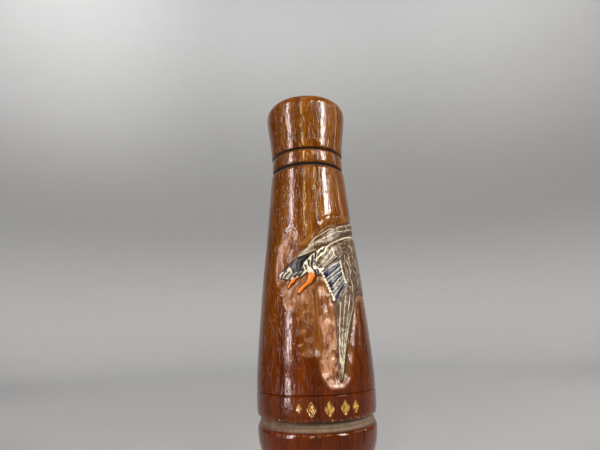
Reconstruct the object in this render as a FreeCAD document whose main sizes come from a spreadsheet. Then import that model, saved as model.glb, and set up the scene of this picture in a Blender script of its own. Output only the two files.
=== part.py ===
"""Double-reed duck call: a turned barrel on a turned stopper that holds the sounding parts.

Sizes are in millimetres.  +Z runs up the call, and the origin is the centre of the
stopper's foot.  The stopper stands at the bottom and the flared mouthpiece is at the top.
"""
import FreeCAD, Part
import math
import os
import Sketcher

SHEET_ROWS = [
    # alias, value, what it sets
    ("stopper_height", 50.0, "foot of the stopper to the joint between stopper and barrel"),
    ("barrel_length", 88.3, "joint to the top of the mouthpiece"),
    ("joint_gap", 0.05, "barrel's foot above the stopper's shoulder"),
    ("groove_floor_radius", 14.2, "bottom of the groove at the joint"),
    # outside of the barrel
    ("foot_edge_radius", 15.55, "barrel: outer end of the chamfer at its foot"),
    ("foot_edge_rise", 0.8, "barrel: that chamfer's height"),
    ("band_start_radius", 15.94, "barrel: lower end of the straight band"),
    ("band_start_rise", 1.4, "barrel: height of that end above the joint"),
    ("band_radius", 16.0, "barrel: widest point"),
    ("band_rise", 4.6, "barrel: height of the widest point above the joint"),
    ("belly_radius", 15.14, "barrel: end of the rounded belly"),
    ("belly_rise", 21.8, "barrel: height of that end"),
    ("belly_curve", 254.0, "barrel: radius of the belly's curve"),
    ("taper_radius", 12.85, "barrel: end of the long curve"),
    ("taper_rise", 45.9, "barrel: height of that end"),
    ("taper_curve", 892.0, "barrel: radius of the long curve"),
    ("neck_radius", 10.95, "barrel: top of the cone"),
    ("neck_drop", 22.1, "barrel: top of the cone below the mouth"),
    ("bead_radius", 10.55, "barrel: both edges of the bead between the burnt rings"),
    ("bead_low_drop", 20.9, "barrel: lower edge of the bead below the mouth"),
    ("bead_high_drop", 17.0, "barrel: upper edge of the bead below the mouth"),
    ("bead_curve", 12.0, "barrel: radius of the bead's bulge"),
    ("flare_low_radius", 10.75, "barrel: start of the flared mouthpiece"),
    ("flare_low_drop", 16.0, "barrel: that start below the mouth"),
    ("flare_radius", 12.1, "barrel: widest point of the mouthpiece"),
    ("flare_curve", 120.0, "barrel: hollow curve of the mouthpiece"),
    ("lip_drop", 2.4, "barrel: height of the rounding at the lip"),
    ("lip_land_radius", 10.6, "barrel: outer edge of the flat lip"),
    ("lip_curve", 2.4, "barrel: radius of the rounding at the lip"),
    # ring grooves
    ("v_line_rise", 6.0, "barrel: cut line above the band"),
    ("v_line_depth", 0.35, "barrel: its depth"),
    ("v_line_width", 0.7, "barrel: its width at the surface"),
    ("thick_ring_drop", 21.3, "barrel: lower burnt ring below the mouth"),
    ("thick_ring_depth", 0.5, "barrel: its depth below the bead's edge"),
    ("thick_ring_width", 1.0, "barrel: its width at the bead's edge"),
    ("thin_ring_drop", 16.5, "barrel: upper burnt ring below the mouth"),
    ("thin_ring_depth", 0.35, "each thin burnt ring: depth below the bead's edge"),
    ("thin_ring_width", 0.6, "each thin burnt ring: width at the bead's edge"),
    # inside of the barrel
    ("bore_radius", 7.95, "barrel: main bore, five eighths of an inch across"),
    ("bore_end_drop", 26.3, "barrel: end of the main bore below the mouth"),
    ("bore_step", 2.5, "barrel: height of the cone from the main bore to the mouth bore"),
    ("bore_chamfer", 0.5, "barrel: chamfer at the foot of the bore"),
    ("mouth_radius", 6.35, "barrel: mouth bore, half an inch across"),
    ("dish_depth", 7.0, "barrel: depth of the dished mouth"),
    ("dish_radius", 10.0, "barrel: dished mouth at the lip"),
    ("dish_curve", 12.0, "barrel: radius of the dish"),
    # outside of the stopper
    ("shoulder_edge_radius", 15.2, "stopper: top edge beside the joint groove"),
    ("shoulder_edge_drop", 0.8, "stopper: that edge below the joint"),
    ("shoulder_radius", 15.75, "stopper: widest point"),
    ("shoulder_top_drop", 2.0, "stopper: top of its straight side below the joint"),
    ("shoulder_drop", 3.5, "stopper: foot of its straight side below the joint"),
    ("shoulder_curve", 13.4, "stopper: radius of the rounded shoulder"),
    ("cove_radius", 11.9, "stopper: where the shoulder turns into the waist"),
    ("cove_drop", 12.9, "stopper: that place below the joint"),
    ("cove_curve", 8.0, "stopper: radius of the cove above the waist"),
    ("waist_radius", 9.6, "stopper: thinnest point"),
    ("waist_drop", 18.6, "stopper: thinnest point below the joint"),
    ("waist_curve", 150.0, "stopper: radius of the hollow below the waist"),
    ("bell_curve", 90.0, "stopper: radius of the hollow bell"),
    ("bell_radius", 12.0, "stopper: widest point of the bell"),
    ("bell_rise", 3.0, "stopper: height of that point"),
    ("foot_round", 2.6, "stopper: rounding at the foot"),
    ("foot_radius", 10.0, "stopper: outer edge of the flat foot"),
    ("tail_bead_radius", 10.2, "stopper: both edges of the bead above the bell"),
    ("tail_bead_low_rise", 14.6, "stopper: lower edge of that bead"),
    ("tail_bead_high_rise", 18.5, "stopper: upper edge of that bead"),
    # inside of the stopper
    ("exhaust_radius", 4.0, "stopper: exhaust bore"),
    ("exhaust_mouth_radius", 7.0, "stopper: exhaust at the foot"),
    ("exhaust_mouth_depth", 10.0, "stopper: depth of the flared exhaust mouth"),
    ("exhaust_curve", 18.0, "stopper: radius of that flare"),
    # tenon and seals
    ("tenon_clearance", 0.1, "tenon inside the barrel's bore, on the radius"),
    ("tenon_length", 26.0, "tenon above the joint"),
    ("tenon_chamfer", 0.5, "chamfer at the end of the tenon"),
    ("socket_wall", 1.05, "wall between the tone board's socket and the floor of a seal groove"),
    ("socket_depth", 18.0, "depth of that socket from the end of the tenon"),
    ("seal_section", 1.2, "thickness of a rubber ring"),
    ("seal_clearance", 0.05, "rubber ring to bore and to groove floor, on the radius"),
    ("seal_side_clearance", 0.2, "rubber ring to each side of its groove"),
    ("front_seal_rise", 20.0, "front rubber ring above the joint"),
    ("rear_seal_rise", 6.0, "rear rubber ring above the joint"),
    # tone board, reeds and wedge
    ("glue_gap", 0.03, "tone board and wedge inside the socket, on the radius"),
    ("board_reach", 30.0, "tone board beyond the tenon"),
    ("board_fall", 0.85, "how far the board's face falls away at its tip"),
    ("channel_radius", 2.4, "sound channel in the tone board"),
    ("channel_stop", 4.0, "solid tip beyond the channel"),
    ("reed_thickness", 0.3, "each reed"),
    ("reed_seat", 2.0, "butt of the reeds above the socket's floor"),
    ("long_reed_room", 0.8, "long reed's edge to the socket's wall"),
    ("long_reed_reach", 28.0, "long reed beyond the tenon"),
    ("short_reed_room", 1.0, "short reed's edge to the socket's wall"),
    ("short_reed_reach", 21.0, "short reed beyond the tenon"),
    ("reed_tip_ease", 1.2, "radius of a reed's tip beyond half its width"),
]

# Places worked out from the sheet, written as expressions on it
JOINT = "dims.stopper_height"
MOUTH = "(dims.stopper_height + dims.barrel_length)"
TENON_END = "(dims.stopper_height + dims.tenon_length)"
SOCKET_FLOOR = "(dims.stopper_height + dims.tenon_length - dims.socket_depth)"
TENON_RADIUS = "(dims.bore_radius - dims.tenon_clearance)"
SEAL_FLOOR = "(dims.bore_radius - 2 * dims.seal_clearance - dims.seal_section)"
SOCKET_RADIUS = "(%s - dims.socket_wall)" % SEAL_FLOOR
INSERT_RADIUS = "(%s - dims.glue_gap)" % SOCKET_RADIUS

doc = FreeCAD.newDocument("duck_call")


def above_joint(alias):
    """Height of a size that the sheet gives above the joint."""
    return "(dims.stopper_height + dims.%s)" % alias


def below_joint(alias):
    """Height of a size that the sheet gives below the joint."""
    return "(dims.stopper_height - dims.%s)" % alias


def below_mouth(alias):
    """Height of a size that the sheet gives below the mouth."""
    return "(dims.stopper_height + dims.barrel_length - dims.%s)" % alias


def make_sheet():
    """The driving dimensions: a value, its alias and its meaning on each row."""
    sheet = doc.addObject("Spreadsheet::Sheet", "dims")
    for row, (alias, value, meaning) in enumerate(SHEET_ROWS, start=1):
        sheet.set("A%d" % row, str(value))
        sheet.setAlias("A%d" % row, alias)
        sheet.set("B%d" % row, meaning)
    doc.recompute()
    return sheet


def value_of(expression):
    """The number that an expression gives now."""
    return float(dims.evalExpression(expression))


def origin_plane(body, role):
    """One of the body's own origin planes, found by its role."""
    return next(item for item in body.Origin.OriginFeatures if item.Role == role)


def new_sketch(body, name, role):
    """An empty sketch on one of the body's origin planes."""
    sketch = body.newObject("Sketcher::SketchObject", name)
    sketch.AttachmentSupport = [(origin_plane(body, role), "")]
    sketch.MapMode = "FlatFace"
    return sketch


def arc_between(start, end, radius, bulge):
    """The short arc from start to end; bulge is +1 to keep its centre on the left, -1 on the right."""
    middle = (start + end) * 0.5
    half = (end - start) * 0.5
    left = FreeCAD.Vector(-half.y, half.x, 0)
    left.normalize()
    reach = math.sqrt(radius ** 2 - half.Length ** 2)
    centre = middle + left * (reach * bulge)
    first, last = (start, end) if bulge > 0 else (end, start)
    first_angle = math.atan2(first.y - centre.y, first.x - centre.x)
    last_angle = math.atan2(last.y - centre.y, last.x - centre.x)
    circle = Part.Circle(centre, FreeCAD.Vector(0, 0, 1), radius)
    return Part.ArcOfCircle(circle, first_angle, last_angle)


def place_point(sketch, kind, edge, end, expression):
    """Tie one coordinate of a corner to the sheet."""
    if expression == "0":
        axis = -2 if kind == "DistanceX" else -1
        sketch.addConstraint(Sketcher.Constraint("PointOnObject", edge, end, axis))
        return
    index = sketch.addConstraint(Sketcher.Constraint(kind, -1, 1, edge, end, value_of(expression)))
    sketch.setExpression("Constraints[%d]" % index, expression)


def draw_outline(sketch, corners):
    """Draw a closed outline.  Each corner is (x, y, curve), and curve tells how the outline
    leaves it: None for a straight line, or (radius, side) for an arc."""
    points = [FreeCAD.Vector(value_of(x), value_of(y), 0) for x, y, curve in corners]
    count = len(corners)
    ends = []
    for index, (x, y, curve) in enumerate(corners):
        start = points[index]
        end = points[(index + 1) % count]
        if curve is None:
            edge = sketch.addGeometry(Part.LineSegment(start, end), False)
            ends.append((edge, 1, 2))
            continue
        radius, side = curve
        edge = sketch.addGeometry(arc_between(start, end, value_of(radius), side), False)
        ends.append((edge, 1, 2) if side > 0 else (edge, 2, 1))
    for index, (edge, first, last) in enumerate(ends):
        next_edge, next_first, _ = ends[(index + 1) % count]
        sketch.addConstraint(Sketcher.Constraint("Coincident", edge, last, next_edge, next_first))
        x, y, curve = corners[index]
        place_point(sketch, "DistanceX", edge, first, x)
        place_point(sketch, "DistanceY", edge, first, y)
        if curve is not None:
            radius = curve[0]
            index_radius = sketch.addConstraint(Sketcher.Constraint("Radius", edge, value_of(radius)))
            sketch.setExpression("Constraints[%d]" % index_radius, radius)


def turned_body(label, corners):
    """A body turned about Z from its half outline."""
    body = doc.addObject("PartDesign::Body", label)
    body.Label = label
    sketch = new_sketch(body, label + "_outline", "XZ_Plane")
    draw_outline(sketch, corners)
    turning = body.newObject("PartDesign::Revolution", label + "_turning")
    turning.Profile = sketch
    turning.ReferenceAxis = (sketch, ["V_Axis"])
    turning.Angle = 360
    doc.recompute()
    return body


def cut_ring(body, name, corners):
    """Turn a small outline off the body all round."""
    before = body.Shape.Volume
    sketch = new_sketch(body, name + "_outline", "XZ_Plane")
    draw_outline(sketch, corners)
    groove = body.newObject("PartDesign::Groove", name)
    groove.Profile = sketch
    groove.ReferenceAxis = (sketch, ["V_Axis"])
    groove.Angle = 360
    doc.recompute()
    if body.Shape.Volume >= before:
        raise RuntimeError(name + " removed nothing")


def v_ring(body, name, height, surface, depth, width):
    """Cut a V-shaped line round the body; depth and width are measured at the surface radius."""
    floor = "(%s - %s)" % (surface, depth)
    outside = "(%s + %s)" % (surface, depth)
    cut_ring(body, name, [
        (floor, height, None),
        (outside, "(%s - %s)" % (height, width), None),
        (outside, "(%s + %s)" % (height, width), None),
    ])


def make_barrel():
    """The turned barrel with its dished mouthpiece."""
    foot = "(dims.stopper_height + dims.joint_gap)"
    body = turned_body("barrel", [
        ("dims.bore_radius", "(%s + dims.bore_chamfer)" % foot, None),
        ("(dims.bore_radius + dims.bore_chamfer)", foot, None),
        ("dims.groove_floor_radius", foot, None),
        ("dims.foot_edge_radius", above_joint("foot_edge_rise"), None),
        ("dims.band_start_radius", above_joint("band_start_rise"), None),
        ("dims.band_radius", above_joint("band_rise"), ("dims.belly_curve", 1)),
        ("dims.belly_radius", above_joint("belly_rise"), ("dims.taper_curve", 1)),
        ("dims.taper_radius", above_joint("taper_rise"), None),
        ("dims.neck_radius", below_mouth("neck_drop"), None),
        ("dims.bead_radius", below_mouth("bead_low_drop"), ("dims.bead_curve", 1)),
        ("dims.bead_radius", below_mouth("bead_high_drop"), None),
        ("dims.flare_low_radius", below_mouth("flare_low_drop"), ("dims.flare_curve", -1)),
        ("dims.flare_radius", below_mouth("lip_drop"), ("dims.lip_curve", 1)),
        ("dims.lip_land_radius", MOUTH, None),
        ("dims.dish_radius", MOUTH, ("dims.dish_curve", -1)),
        ("dims.mouth_radius", below_mouth("dish_depth"), None),
        ("dims.mouth_radius", "(%s + dims.bore_step)" % below_mouth("bore_end_drop"), None),
        ("dims.bore_radius", below_mouth("bore_end_drop"), None),
    ])
    v_ring(body, "v_line", above_joint("v_line_rise"), "dims.band_radius",
           "dims.v_line_depth", "dims.v_line_width")
    v_ring(body, "thick_burnt_ring", below_mouth("thick_ring_drop"), "dims.bead_radius",
           "dims.thick_ring_depth", "dims.thick_ring_width")
    v_ring(body, "thin_burnt_ring", below_mouth("thin_ring_drop"), "dims.bead_radius",
           "dims.thin_ring_depth", "dims.thin_ring_width")


def make_stopper():
    """The turned stopper: bell, waist, shoulder and the tenon that the barrel slides over."""
    body = turned_body("stopper", [
        ("dims.exhaust_radius", "dims.exhaust_mouth_depth", ("dims.exhaust_curve", -1)),
        ("dims.exhaust_mouth_radius", "0", None),
        ("dims.foot_radius", "0", ("dims.foot_round", 1)),
        ("dims.bell_radius", "dims.bell_rise", ("dims.bell_curve", -1)),
        ("dims.tail_bead_radius", "dims.tail_bead_low_rise", ("dims.bead_curve", 1)),
        ("dims.tail_bead_radius", "dims.tail_bead_high_rise", ("dims.waist_curve", -1)),
        ("dims.waist_radius", below_joint("waist_drop"), ("dims.cove_curve", -1)),
        ("dims.cove_radius", below_joint("cove_drop"), ("dims.shoulder_curve", 1)),
        ("dims.shoulder_radius", below_joint("shoulder_drop"), None),
        ("dims.shoulder_radius", below_joint("shoulder_top_drop"), None),
        ("dims.shoulder_edge_radius", below_joint("shoulder_edge_drop"), None),
        ("dims.groove_floor_radius", JOINT, None),
        (TENON_RADIUS, JOINT, None),
        (TENON_RADIUS, "(%s - dims.tenon_chamfer)" % TENON_END, None),
        ("(%s - dims.tenon_chamfer)" % TENON_RADIUS, TENON_END, None),
        (SOCKET_RADIUS, TENON_END, None),
        (SOCKET_RADIUS, SOCKET_FLOOR, None),
        ("dims.exhaust_radius", SOCKET_FLOOR, None),
    ])
    half_width = "(dims.seal_section / 2 + dims.seal_side_clearance)"
    for place in ("rear", "front"):
        centre = above_joint(place + "_seal_rise")
        low = "(%s - %s)" % (centre, half_width)
        high = "(%s + %s)" % (centre, half_width)
        outside = "(%s + dims.seal_section)" % TENON_RADIUS
        cut_ring(body, place + "_seal_groove", [
            (SEAL_FLOOR, low, None),
            (outside, low, None),
            (outside, high, None),
            (SEAL_FLOOR, high, None),
        ])
    for place in ("low", "high"):
        v_ring(body, place + "_burnt_ring", "dims.tail_bead_%s_rise" % place, "dims.tail_bead_radius",
               "dims.thin_ring_depth", "dims.thin_ring_width")


def make_seals():
    """Two rubber rings that lie in the tenon's grooves and grip the barrel's bore."""
    for place in ("front", "rear"):
        label = "tenon_seal_" + place
        ring = doc.addObject("Part::Torus", label)
        ring.Label = label
        ring.setExpression("Radius1", "dims.bore_radius - dims.seal_clearance - dims.seal_section / 2")
        ring.setExpression("Radius2", "dims.seal_section / 2")
        ring.setExpression("Placement.Base.z", above_joint(place + "_seal_rise"))


def make_tone_board():
    """A half-round board with a sound channel; its face falls away in front of the wedge."""
    body = doc.addObject("PartDesign::Body", "tone_board_blank")
    side = new_sketch(body, "tone_board_side", "YZ_Plane")
    tip = "(%s + dims.board_reach)" % TENON_END
    draw_outline(side, [
        ("0", SOCKET_FLOOR, None),
        (INSERT_RADIUS, SOCKET_FLOOR, None),
        (INSERT_RADIUS, tip, None),
        ("dims.board_fall", tip, None),
        ("0", TENON_END, None),
    ])
    pad = body.newObject("PartDesign::Pad", "tone_board_pad")
    pad.Profile = side
    pad.SideType = "Symmetric"
    pad.setExpression("Length", "2 * %s" % SOCKET_RADIUS)
    rod = doc.addObject("Part::Cylinder", "tone_board_rod")
    rod.setExpression("Radius", INSERT_RADIUS)
    rod.setExpression("Height", "dims.socket_depth + dims.board_reach")
    rod.setExpression("Placement.Base.z", SOCKET_FLOOR)
    channel = doc.addObject("Part::Cylinder", "sound_channel")
    channel.setExpression("Radius", "dims.channel_radius")
    channel.setExpression("Height", "dims.socket_depth + dims.board_reach - dims.channel_stop")
    channel.setExpression("Placement.Base.z", SOCKET_FLOOR)
    half_round = doc.addObject("Part::Common", "tone_board_half_round")
    half_round.Base = body
    half_round.Tool = rod
    board = doc.addObject("Part::Cut", "tone_board")
    board.Label = "tone_board"
    board.Base = half_round
    board.Tool = channel


def make_reed(label, lift):
    """A flat reed with a rounded tip, lying on the face of the tone board or on the other reed."""
    width = "(2 * (%s - dims.%s_room))" % (SOCKET_RADIUS, label)
    reach = "dims.%s_reach" % label
    body = doc.addObject("PartDesign::Body", label)
    body.Label = label
    sketch = new_sketch(body, label + "_outline", "XZ_Plane")
    sketch.setExpression("AttachmentOffset.Base.z", lift)
    butt = "(%s + dims.reed_seat)" % SOCKET_FLOOR
    corner = "(%s + %s - %s / 4)" % (TENON_END, reach, width)
    tip_curve = "(%s / 2 + dims.reed_tip_ease)" % width
    draw_outline(sketch, [
        ("(-%s / 2)" % width, butt, None),
        ("(%s / 2)" % width, butt, None),
        ("(%s / 2)" % width, corner, (tip_curve, 1)),
        ("(-%s / 2)" % width, corner, None),
    ])
    pad = body.newObject("PartDesign::Pad", label + "_pad")
    pad.Profile = sketch
    pad.setExpression("Length", "dims.reed_thickness")


def make_wedge():
    """The cork wedge that clamps both reeds against the tone board."""
    body = doc.addObject("PartDesign::Body", "reed_wedge")
    body.Label = "reed_wedge"
    sketch = new_sketch(body, "reed_wedge_end", "XY_Plane")
    sketch.setExpression("AttachmentOffset.Base.z", "%s + dims.reed_seat" % SOCKET_FLOOR)
    flat = "2 * dims.reed_thickness"
    half_chord = "sqrt(%s ^ 2 - (%s) ^ 2)" % (INSERT_RADIUS, flat)
    depth = "(-(%s))" % flat
    draw_outline(sketch, [
        ("(%s)" % half_chord, depth, None),
        ("(-%s)" % half_chord, depth, (INSERT_RADIUS, 1)),
    ])
    pad = body.newObject("PartDesign::Pad", "reed_wedge_pad")
    pad.Profile = sketch
    pad.setExpression("Length", "dims.socket_depth - dims.reed_seat")


def check_document():
    """Stop on any object that failed, and on any shape that is empty or not valid."""
    for item in doc.Objects:
        if "Invalid" in item.State or "Error" in item.State:
            raise RuntimeError("%s failed: %s" % (item.Name, item.State))
    for label in NODES:
        shape = doc.getObjectsByLabel(label)[0].Shape
        if shape.isNull() or not shape.isValid() or not shape.Solids:
            raise RuntimeError(label + " has no valid solid")


NODES = ["barrel", "stopper", "tenon_seal_front", "tenon_seal_rear", "tone_board",
         "long_reed", "short_reed", "reed_wedge"]

dims = make_sheet()
make_barrel()
make_stopper()
make_seals()
make_tone_board()
make_reed("long_reed", "0 * dims.reed_thickness")
make_reed("short_reed", "dims.reed_thickness")
make_wedge()
doc.recompute()
check_document()

os.makedirs("parts", exist_ok=True)
for label in NODES:
    doc.getObjectsByLabel(label)[0].Shape.exportStep("parts/%s.step" % label)
    print(label, round(doc.getObjectsByLabel(label)[0].Shape.Volume, 1))
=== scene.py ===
"""Looks of a turned, carved and painted duck call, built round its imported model.

Lengths in the code are millimetres unless a name ends in _m; Blender's own units are metres.
Places on the barrel are given as (degrees round it, height above the foot): 0 degrees faces
-Y, and they grow towards +X.
"""
from math import cos, pi, radians, sin

import bpy
import numpy as np
from mathutils import Matrix, Vector, noise


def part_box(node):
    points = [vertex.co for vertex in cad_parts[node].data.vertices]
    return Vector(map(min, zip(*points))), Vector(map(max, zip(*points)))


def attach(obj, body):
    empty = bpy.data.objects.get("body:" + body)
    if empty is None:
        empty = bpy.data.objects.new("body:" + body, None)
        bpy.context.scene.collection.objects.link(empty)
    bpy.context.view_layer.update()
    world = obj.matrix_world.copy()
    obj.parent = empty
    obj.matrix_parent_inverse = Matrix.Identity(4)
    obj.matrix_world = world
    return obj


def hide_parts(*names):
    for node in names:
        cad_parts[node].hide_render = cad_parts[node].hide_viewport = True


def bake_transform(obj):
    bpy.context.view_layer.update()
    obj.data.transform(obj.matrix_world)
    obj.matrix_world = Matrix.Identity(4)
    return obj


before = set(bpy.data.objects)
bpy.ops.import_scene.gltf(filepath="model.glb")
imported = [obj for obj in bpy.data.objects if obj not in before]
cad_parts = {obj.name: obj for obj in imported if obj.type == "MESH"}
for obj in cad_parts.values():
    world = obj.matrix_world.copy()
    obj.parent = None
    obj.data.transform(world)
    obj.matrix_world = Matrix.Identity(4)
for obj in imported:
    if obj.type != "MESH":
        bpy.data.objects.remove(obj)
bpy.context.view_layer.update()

bl_info = {
    "name": "Carved duck call",
    "version": (1, 0, 0),
    "blender": (4, 5, 0),
    "location": "3D View > Sidebar > Duck Call",
    "description": "Turns, carves, paints and varnishes a wooden duck call",
    "category": "Object",
}

MM = 0.001
BARREL_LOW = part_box("barrel")[0]
JOINT = round(BARREL_LOW.z / MM, 1)
OUTSIDE = -5.0


# ---------------------------------------------------------------- sizes and colours

class TurningSizes(bpy.types.PropertyGroup):
    """How finely the turned pieces are divided, and how deep the carving goes"""
    barrel_steps: bpy.props.IntProperty(
        name="Barrel steps", description="Divisions round the carved barrel", default=340, min=48)
    stopper_steps: bpy.props.IntProperty(
        name="Stopper steps", description="Divisions round the stopper", default=192, min=48)
    carved_row: bpy.props.FloatProperty(
        name="Carved row", description="Height of one row of faces in the carving, in mm",
        default=0.28, min=0.1)
    recess_depth: bpy.props.FloatProperty(
        name="Recess depth", description="Depth of the ground round the duck, in mm",
        default=0.75, min=0.0)
    gouge_depth: bpy.props.FloatProperty(
        name="Gouge depth", description="Depth of one gouge stroke, in mm", default=0.36, min=0.0)
    chip_depth: bpy.props.FloatProperty(
        name="Chip depth", description="Depth of the lozenges cut in the band, in mm",
        default=0.45, min=0.0)


def colour_property(name, description, default):
    """A colour that the sidebar shows as a swatch."""
    return bpy.props.FloatVectorProperty(
        name=name, description=description, subtype="COLOR", size=3, min=0.0, max=1.0,
        default=default)


class FinishColours(bpy.types.PropertyGroup):
    """Colours of the wood, the paint and the small parts"""
    wood_dark: colour_property("Dark grain", "Dark streaks of the wood", (0.038, 0.009, 0.001))
    wood_mid: colour_property("Wood", "Body colour of the wood", (0.137, 0.037, 0.0014))
    wood_light: colour_property("Light grain", "Light streaks of the wood", (0.275, 0.099, 0.005))
    carved: colour_property("Carved ground", "Wood laid bare by the gouge", (0.31, 0.135, 0.035))
    # painted sheen: a pale colour that stands for the left lamp's sheen on the steep gouged walls and flat
    # cuts
    cut_sheen: colour_property("Cut wall", "Steep gouged wood beside the duck", (0.66, 0.37, 0.23))
    char: colour_property("Burnt ring", "Wood charred by a hot wire", (0.004, 0.003, 0.003))
    dust: colour_property("Dust", "Dust caught in the joint", (0.16, 0.125, 0.085))
    plumage: colour_property("Plumage", "Brown wing feathers", (0.088, 0.052, 0.026))
    plumage_dark: colour_property("Plumage shade", "Dark between feathers", (0.034, 0.020, 0.010))
    cream: colour_property("Cream", "Feather edges", (0.66, 0.61, 0.47))
    white: colour_property("White", "Flank and tail feathers", (0.76, 0.74, 0.60))
    black: colour_property("Black", "Rump and feather bars", (0.006, 0.007, 0.008))
    grey: colour_property("Grey", "Tail", (0.115, 0.120, 0.130))
    navy: colour_property("Navy", "Wing patch", (0.007, 0.011, 0.038))
    orange: colour_property("Orange", "Feet", (0.70, 0.185, 0.004))
    chestnut: colour_property("Chestnut", "Breast", (0.105, 0.030, 0.012))
    green: colour_property("Green", "Head", (0.006, 0.050, 0.024))
    yellow: colour_property("Yellow", "Bill", (0.56, 0.34, 0.035))
    gold: colour_property("Gold", "Tint in the chip-carved marks", (0.62, 0.36, 0.10))
    cork: colour_property("Cork", "Reed wedge", (0.46, 0.28, 0.14))
    rubber: colour_property("Rubber", "Tenon rings", (0.014, 0.014, 0.015))
    film: colour_property("Reed film", "Plastic reeds", (0.74, 0.72, 0.64))
    backdrop: colour_property("Backdrop", "Floor and backdrop", (0.672, 0.709, 0.738))


class StageSettings(bpy.types.PropertyGroup):
    """Camera"""
    lens: bpy.props.FloatProperty(
        name="Lens", description="Focal length on a 36 mm wide sensor", default=24.96, min=1.0)
    distance: bpy.props.FloatProperty(
        name="Distance", description="Camera to the call's axis, in mm", default=120.6, min=10.0)
    height: bpy.props.FloatProperty(
        name="Height", description="Camera above the floor, in mm", default=71.75, min=0.0)
    sideways: bpy.props.FloatProperty(
        name="Sideways", description="Camera to the right of the axis, in mm", default=-2.83)
    pitch: bpy.props.FloatProperty(
        name="Pitch", description="Camera tilted up", default=radians(13.98), subtype="ANGLE")
    roll: bpy.props.FloatProperty(
        name="Roll", description="Camera turned about its view", default=radians(-1.96),
        subtype="ANGLE")


# ---------------------------------------------------------------- curves and distances

def smooth_path(points, closed=False, steps=6):
    """A curve through the points (Catmull-Rom), as an array of places."""
    points = np.asarray(points, float)
    count = len(points)
    if closed:
        before = np.roll(points, 1, axis=0)
        after = np.roll(points, -1, axis=0)
        beyond = np.roll(points, -2, axis=0)
        spans = range(count)
    else:
        before = np.vstack([2 * points[0] - points[1], points[:-1]])
        after = np.vstack([points[1:], 2 * points[-1] - points[-2]])
        beyond = np.vstack([points[2:], [2 * points[-1] - points[-2]], [points[-1]]])
        spans = range(count - 1)
    share = np.linspace(0, 1, steps, endpoint=False)[:, None]
    path = []
    for index in spans:
        p0, p1, p2, p3 = before[index], points[index], after[index], beyond[index]
        path.append(p1 + 0.5 * share * (p2 - p0)
                    + share ** 2 * (p0 - 2.5 * p1 + 2 * p2 - 0.5 * p3)
                    + share ** 3 * (1.5 * (p1 - p2) + 0.5 * (p3 - p0)))
    if not closed:
        path.append(points[-1:])
    return np.vstack(path)


def path_distance(places, path, closed=False):
    """Distance of each place to the path, and the same with a minus sign on its right."""
    ends = np.roll(path, -1, axis=0) if closed else path[1:]
    starts = path if closed else path[:-1]
    nearest = np.full(len(places), 1e9)
    side = np.ones(len(places))
    for start, end in zip(starts, ends):
        run = end - start
        offset = places - start
        share = np.clip((offset @ run) / max(run @ run, 1e-9), 0, 1)
        gap = offset - share[:, None] * run
        distance = np.einsum("ij,ij->i", gap, gap)
        closer = distance < nearest
        nearest[closer] = distance[closer]
        side[closer] = np.sign(run[0] * offset[closer, 1] - run[1] * offset[closer, 0])
    nearest = np.sqrt(nearest)
    return nearest, nearest * side


def inside(places, path):
    """True for the places that lie within a closed path."""
    result = np.zeros(len(places), bool)
    x, y = places[:, 0], places[:, 1]
    for (x0, y0), (x1, y1) in zip(path, np.roll(path, -1, axis=0)):
        if y0 == y1:
            continue
        crosses = ((y0 > y) != (y1 > y)) & (x < (x1 - x0) * (y - y0) / (y1 - y0) + x0)
        result ^= crosses
    return result


def depth_inside(places, path):
    """Distance to a closed path, positive inside it."""
    distance, _ = path_distance(places, path, closed=True)
    return np.where(inside(places, path), distance, -distance)


def ease(values, low, high):
    """0 below low, 1 above high and a smooth step between."""
    share = np.clip((values - low) / (high - low), 0, 1)
    return share * share * (3 - 2 * share)


# ---------------------------------------------------------------- turned outlines

BELLY = [(1.4, 15.94), (4.6, 16.0), (9.7, 15.92), (15.7, 15.61), (21.8, 15.14), (33.8, 14.12),
         (45.9, 12.85), (57.9, 11.71), (65.7, 11.02)]
FLARE = [(72.5, 10.78), (75.4, 11.02), (78.4, 11.34), (81.4, 11.72), (83.8, 12.0), (85.4, 12.09),
         (86.5, 11.98), (87.4, 11.62), (88.0, 11.15), (88.3, 10.6)]
DISH = [(88.3, 10.3), (88.0, 9.95), (86.9, 9.2), (85.0, 8.1), (83.0, 7.1), (81.3, 6.35)]
FOOT = [(0.05, 14.2), (0.06, 15.30), (0.14, 15.56), (0.32, 15.74), (0.7, 15.86)]
RINGS = [(66.15, 10.93), (66.4, 10.72), (66.62, 10.4), (66.8, 10.05), (67.05, 9.98), (67.3, 10.1),
         (67.45, 10.42), (67.7, 10.56), (68.4, 10.62), (69.4, 10.65), (70.5, 10.64), (71.1, 10.58),
         (71.35, 10.48), (71.5, 10.25), (71.65, 10.12), (71.85, 10.14), (72.0, 10.4), (72.15, 10.7)]
V_LINE_RISE = 6.0
V_LINE_HALF = 0.35
V_LINE_DEPTH = 0.32
CARVED_FROM = 7.0
CARVED_TO = 56.6
BAND_FROM = 1.5
BAND_TO = 5.6


def belly_radius(rise):
    """Radius of the plain barrel at a height above the joint."""
    path = smooth_path(BELLY)
    return np.interp(rise, path[:, 0], path[:, 1])


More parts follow.
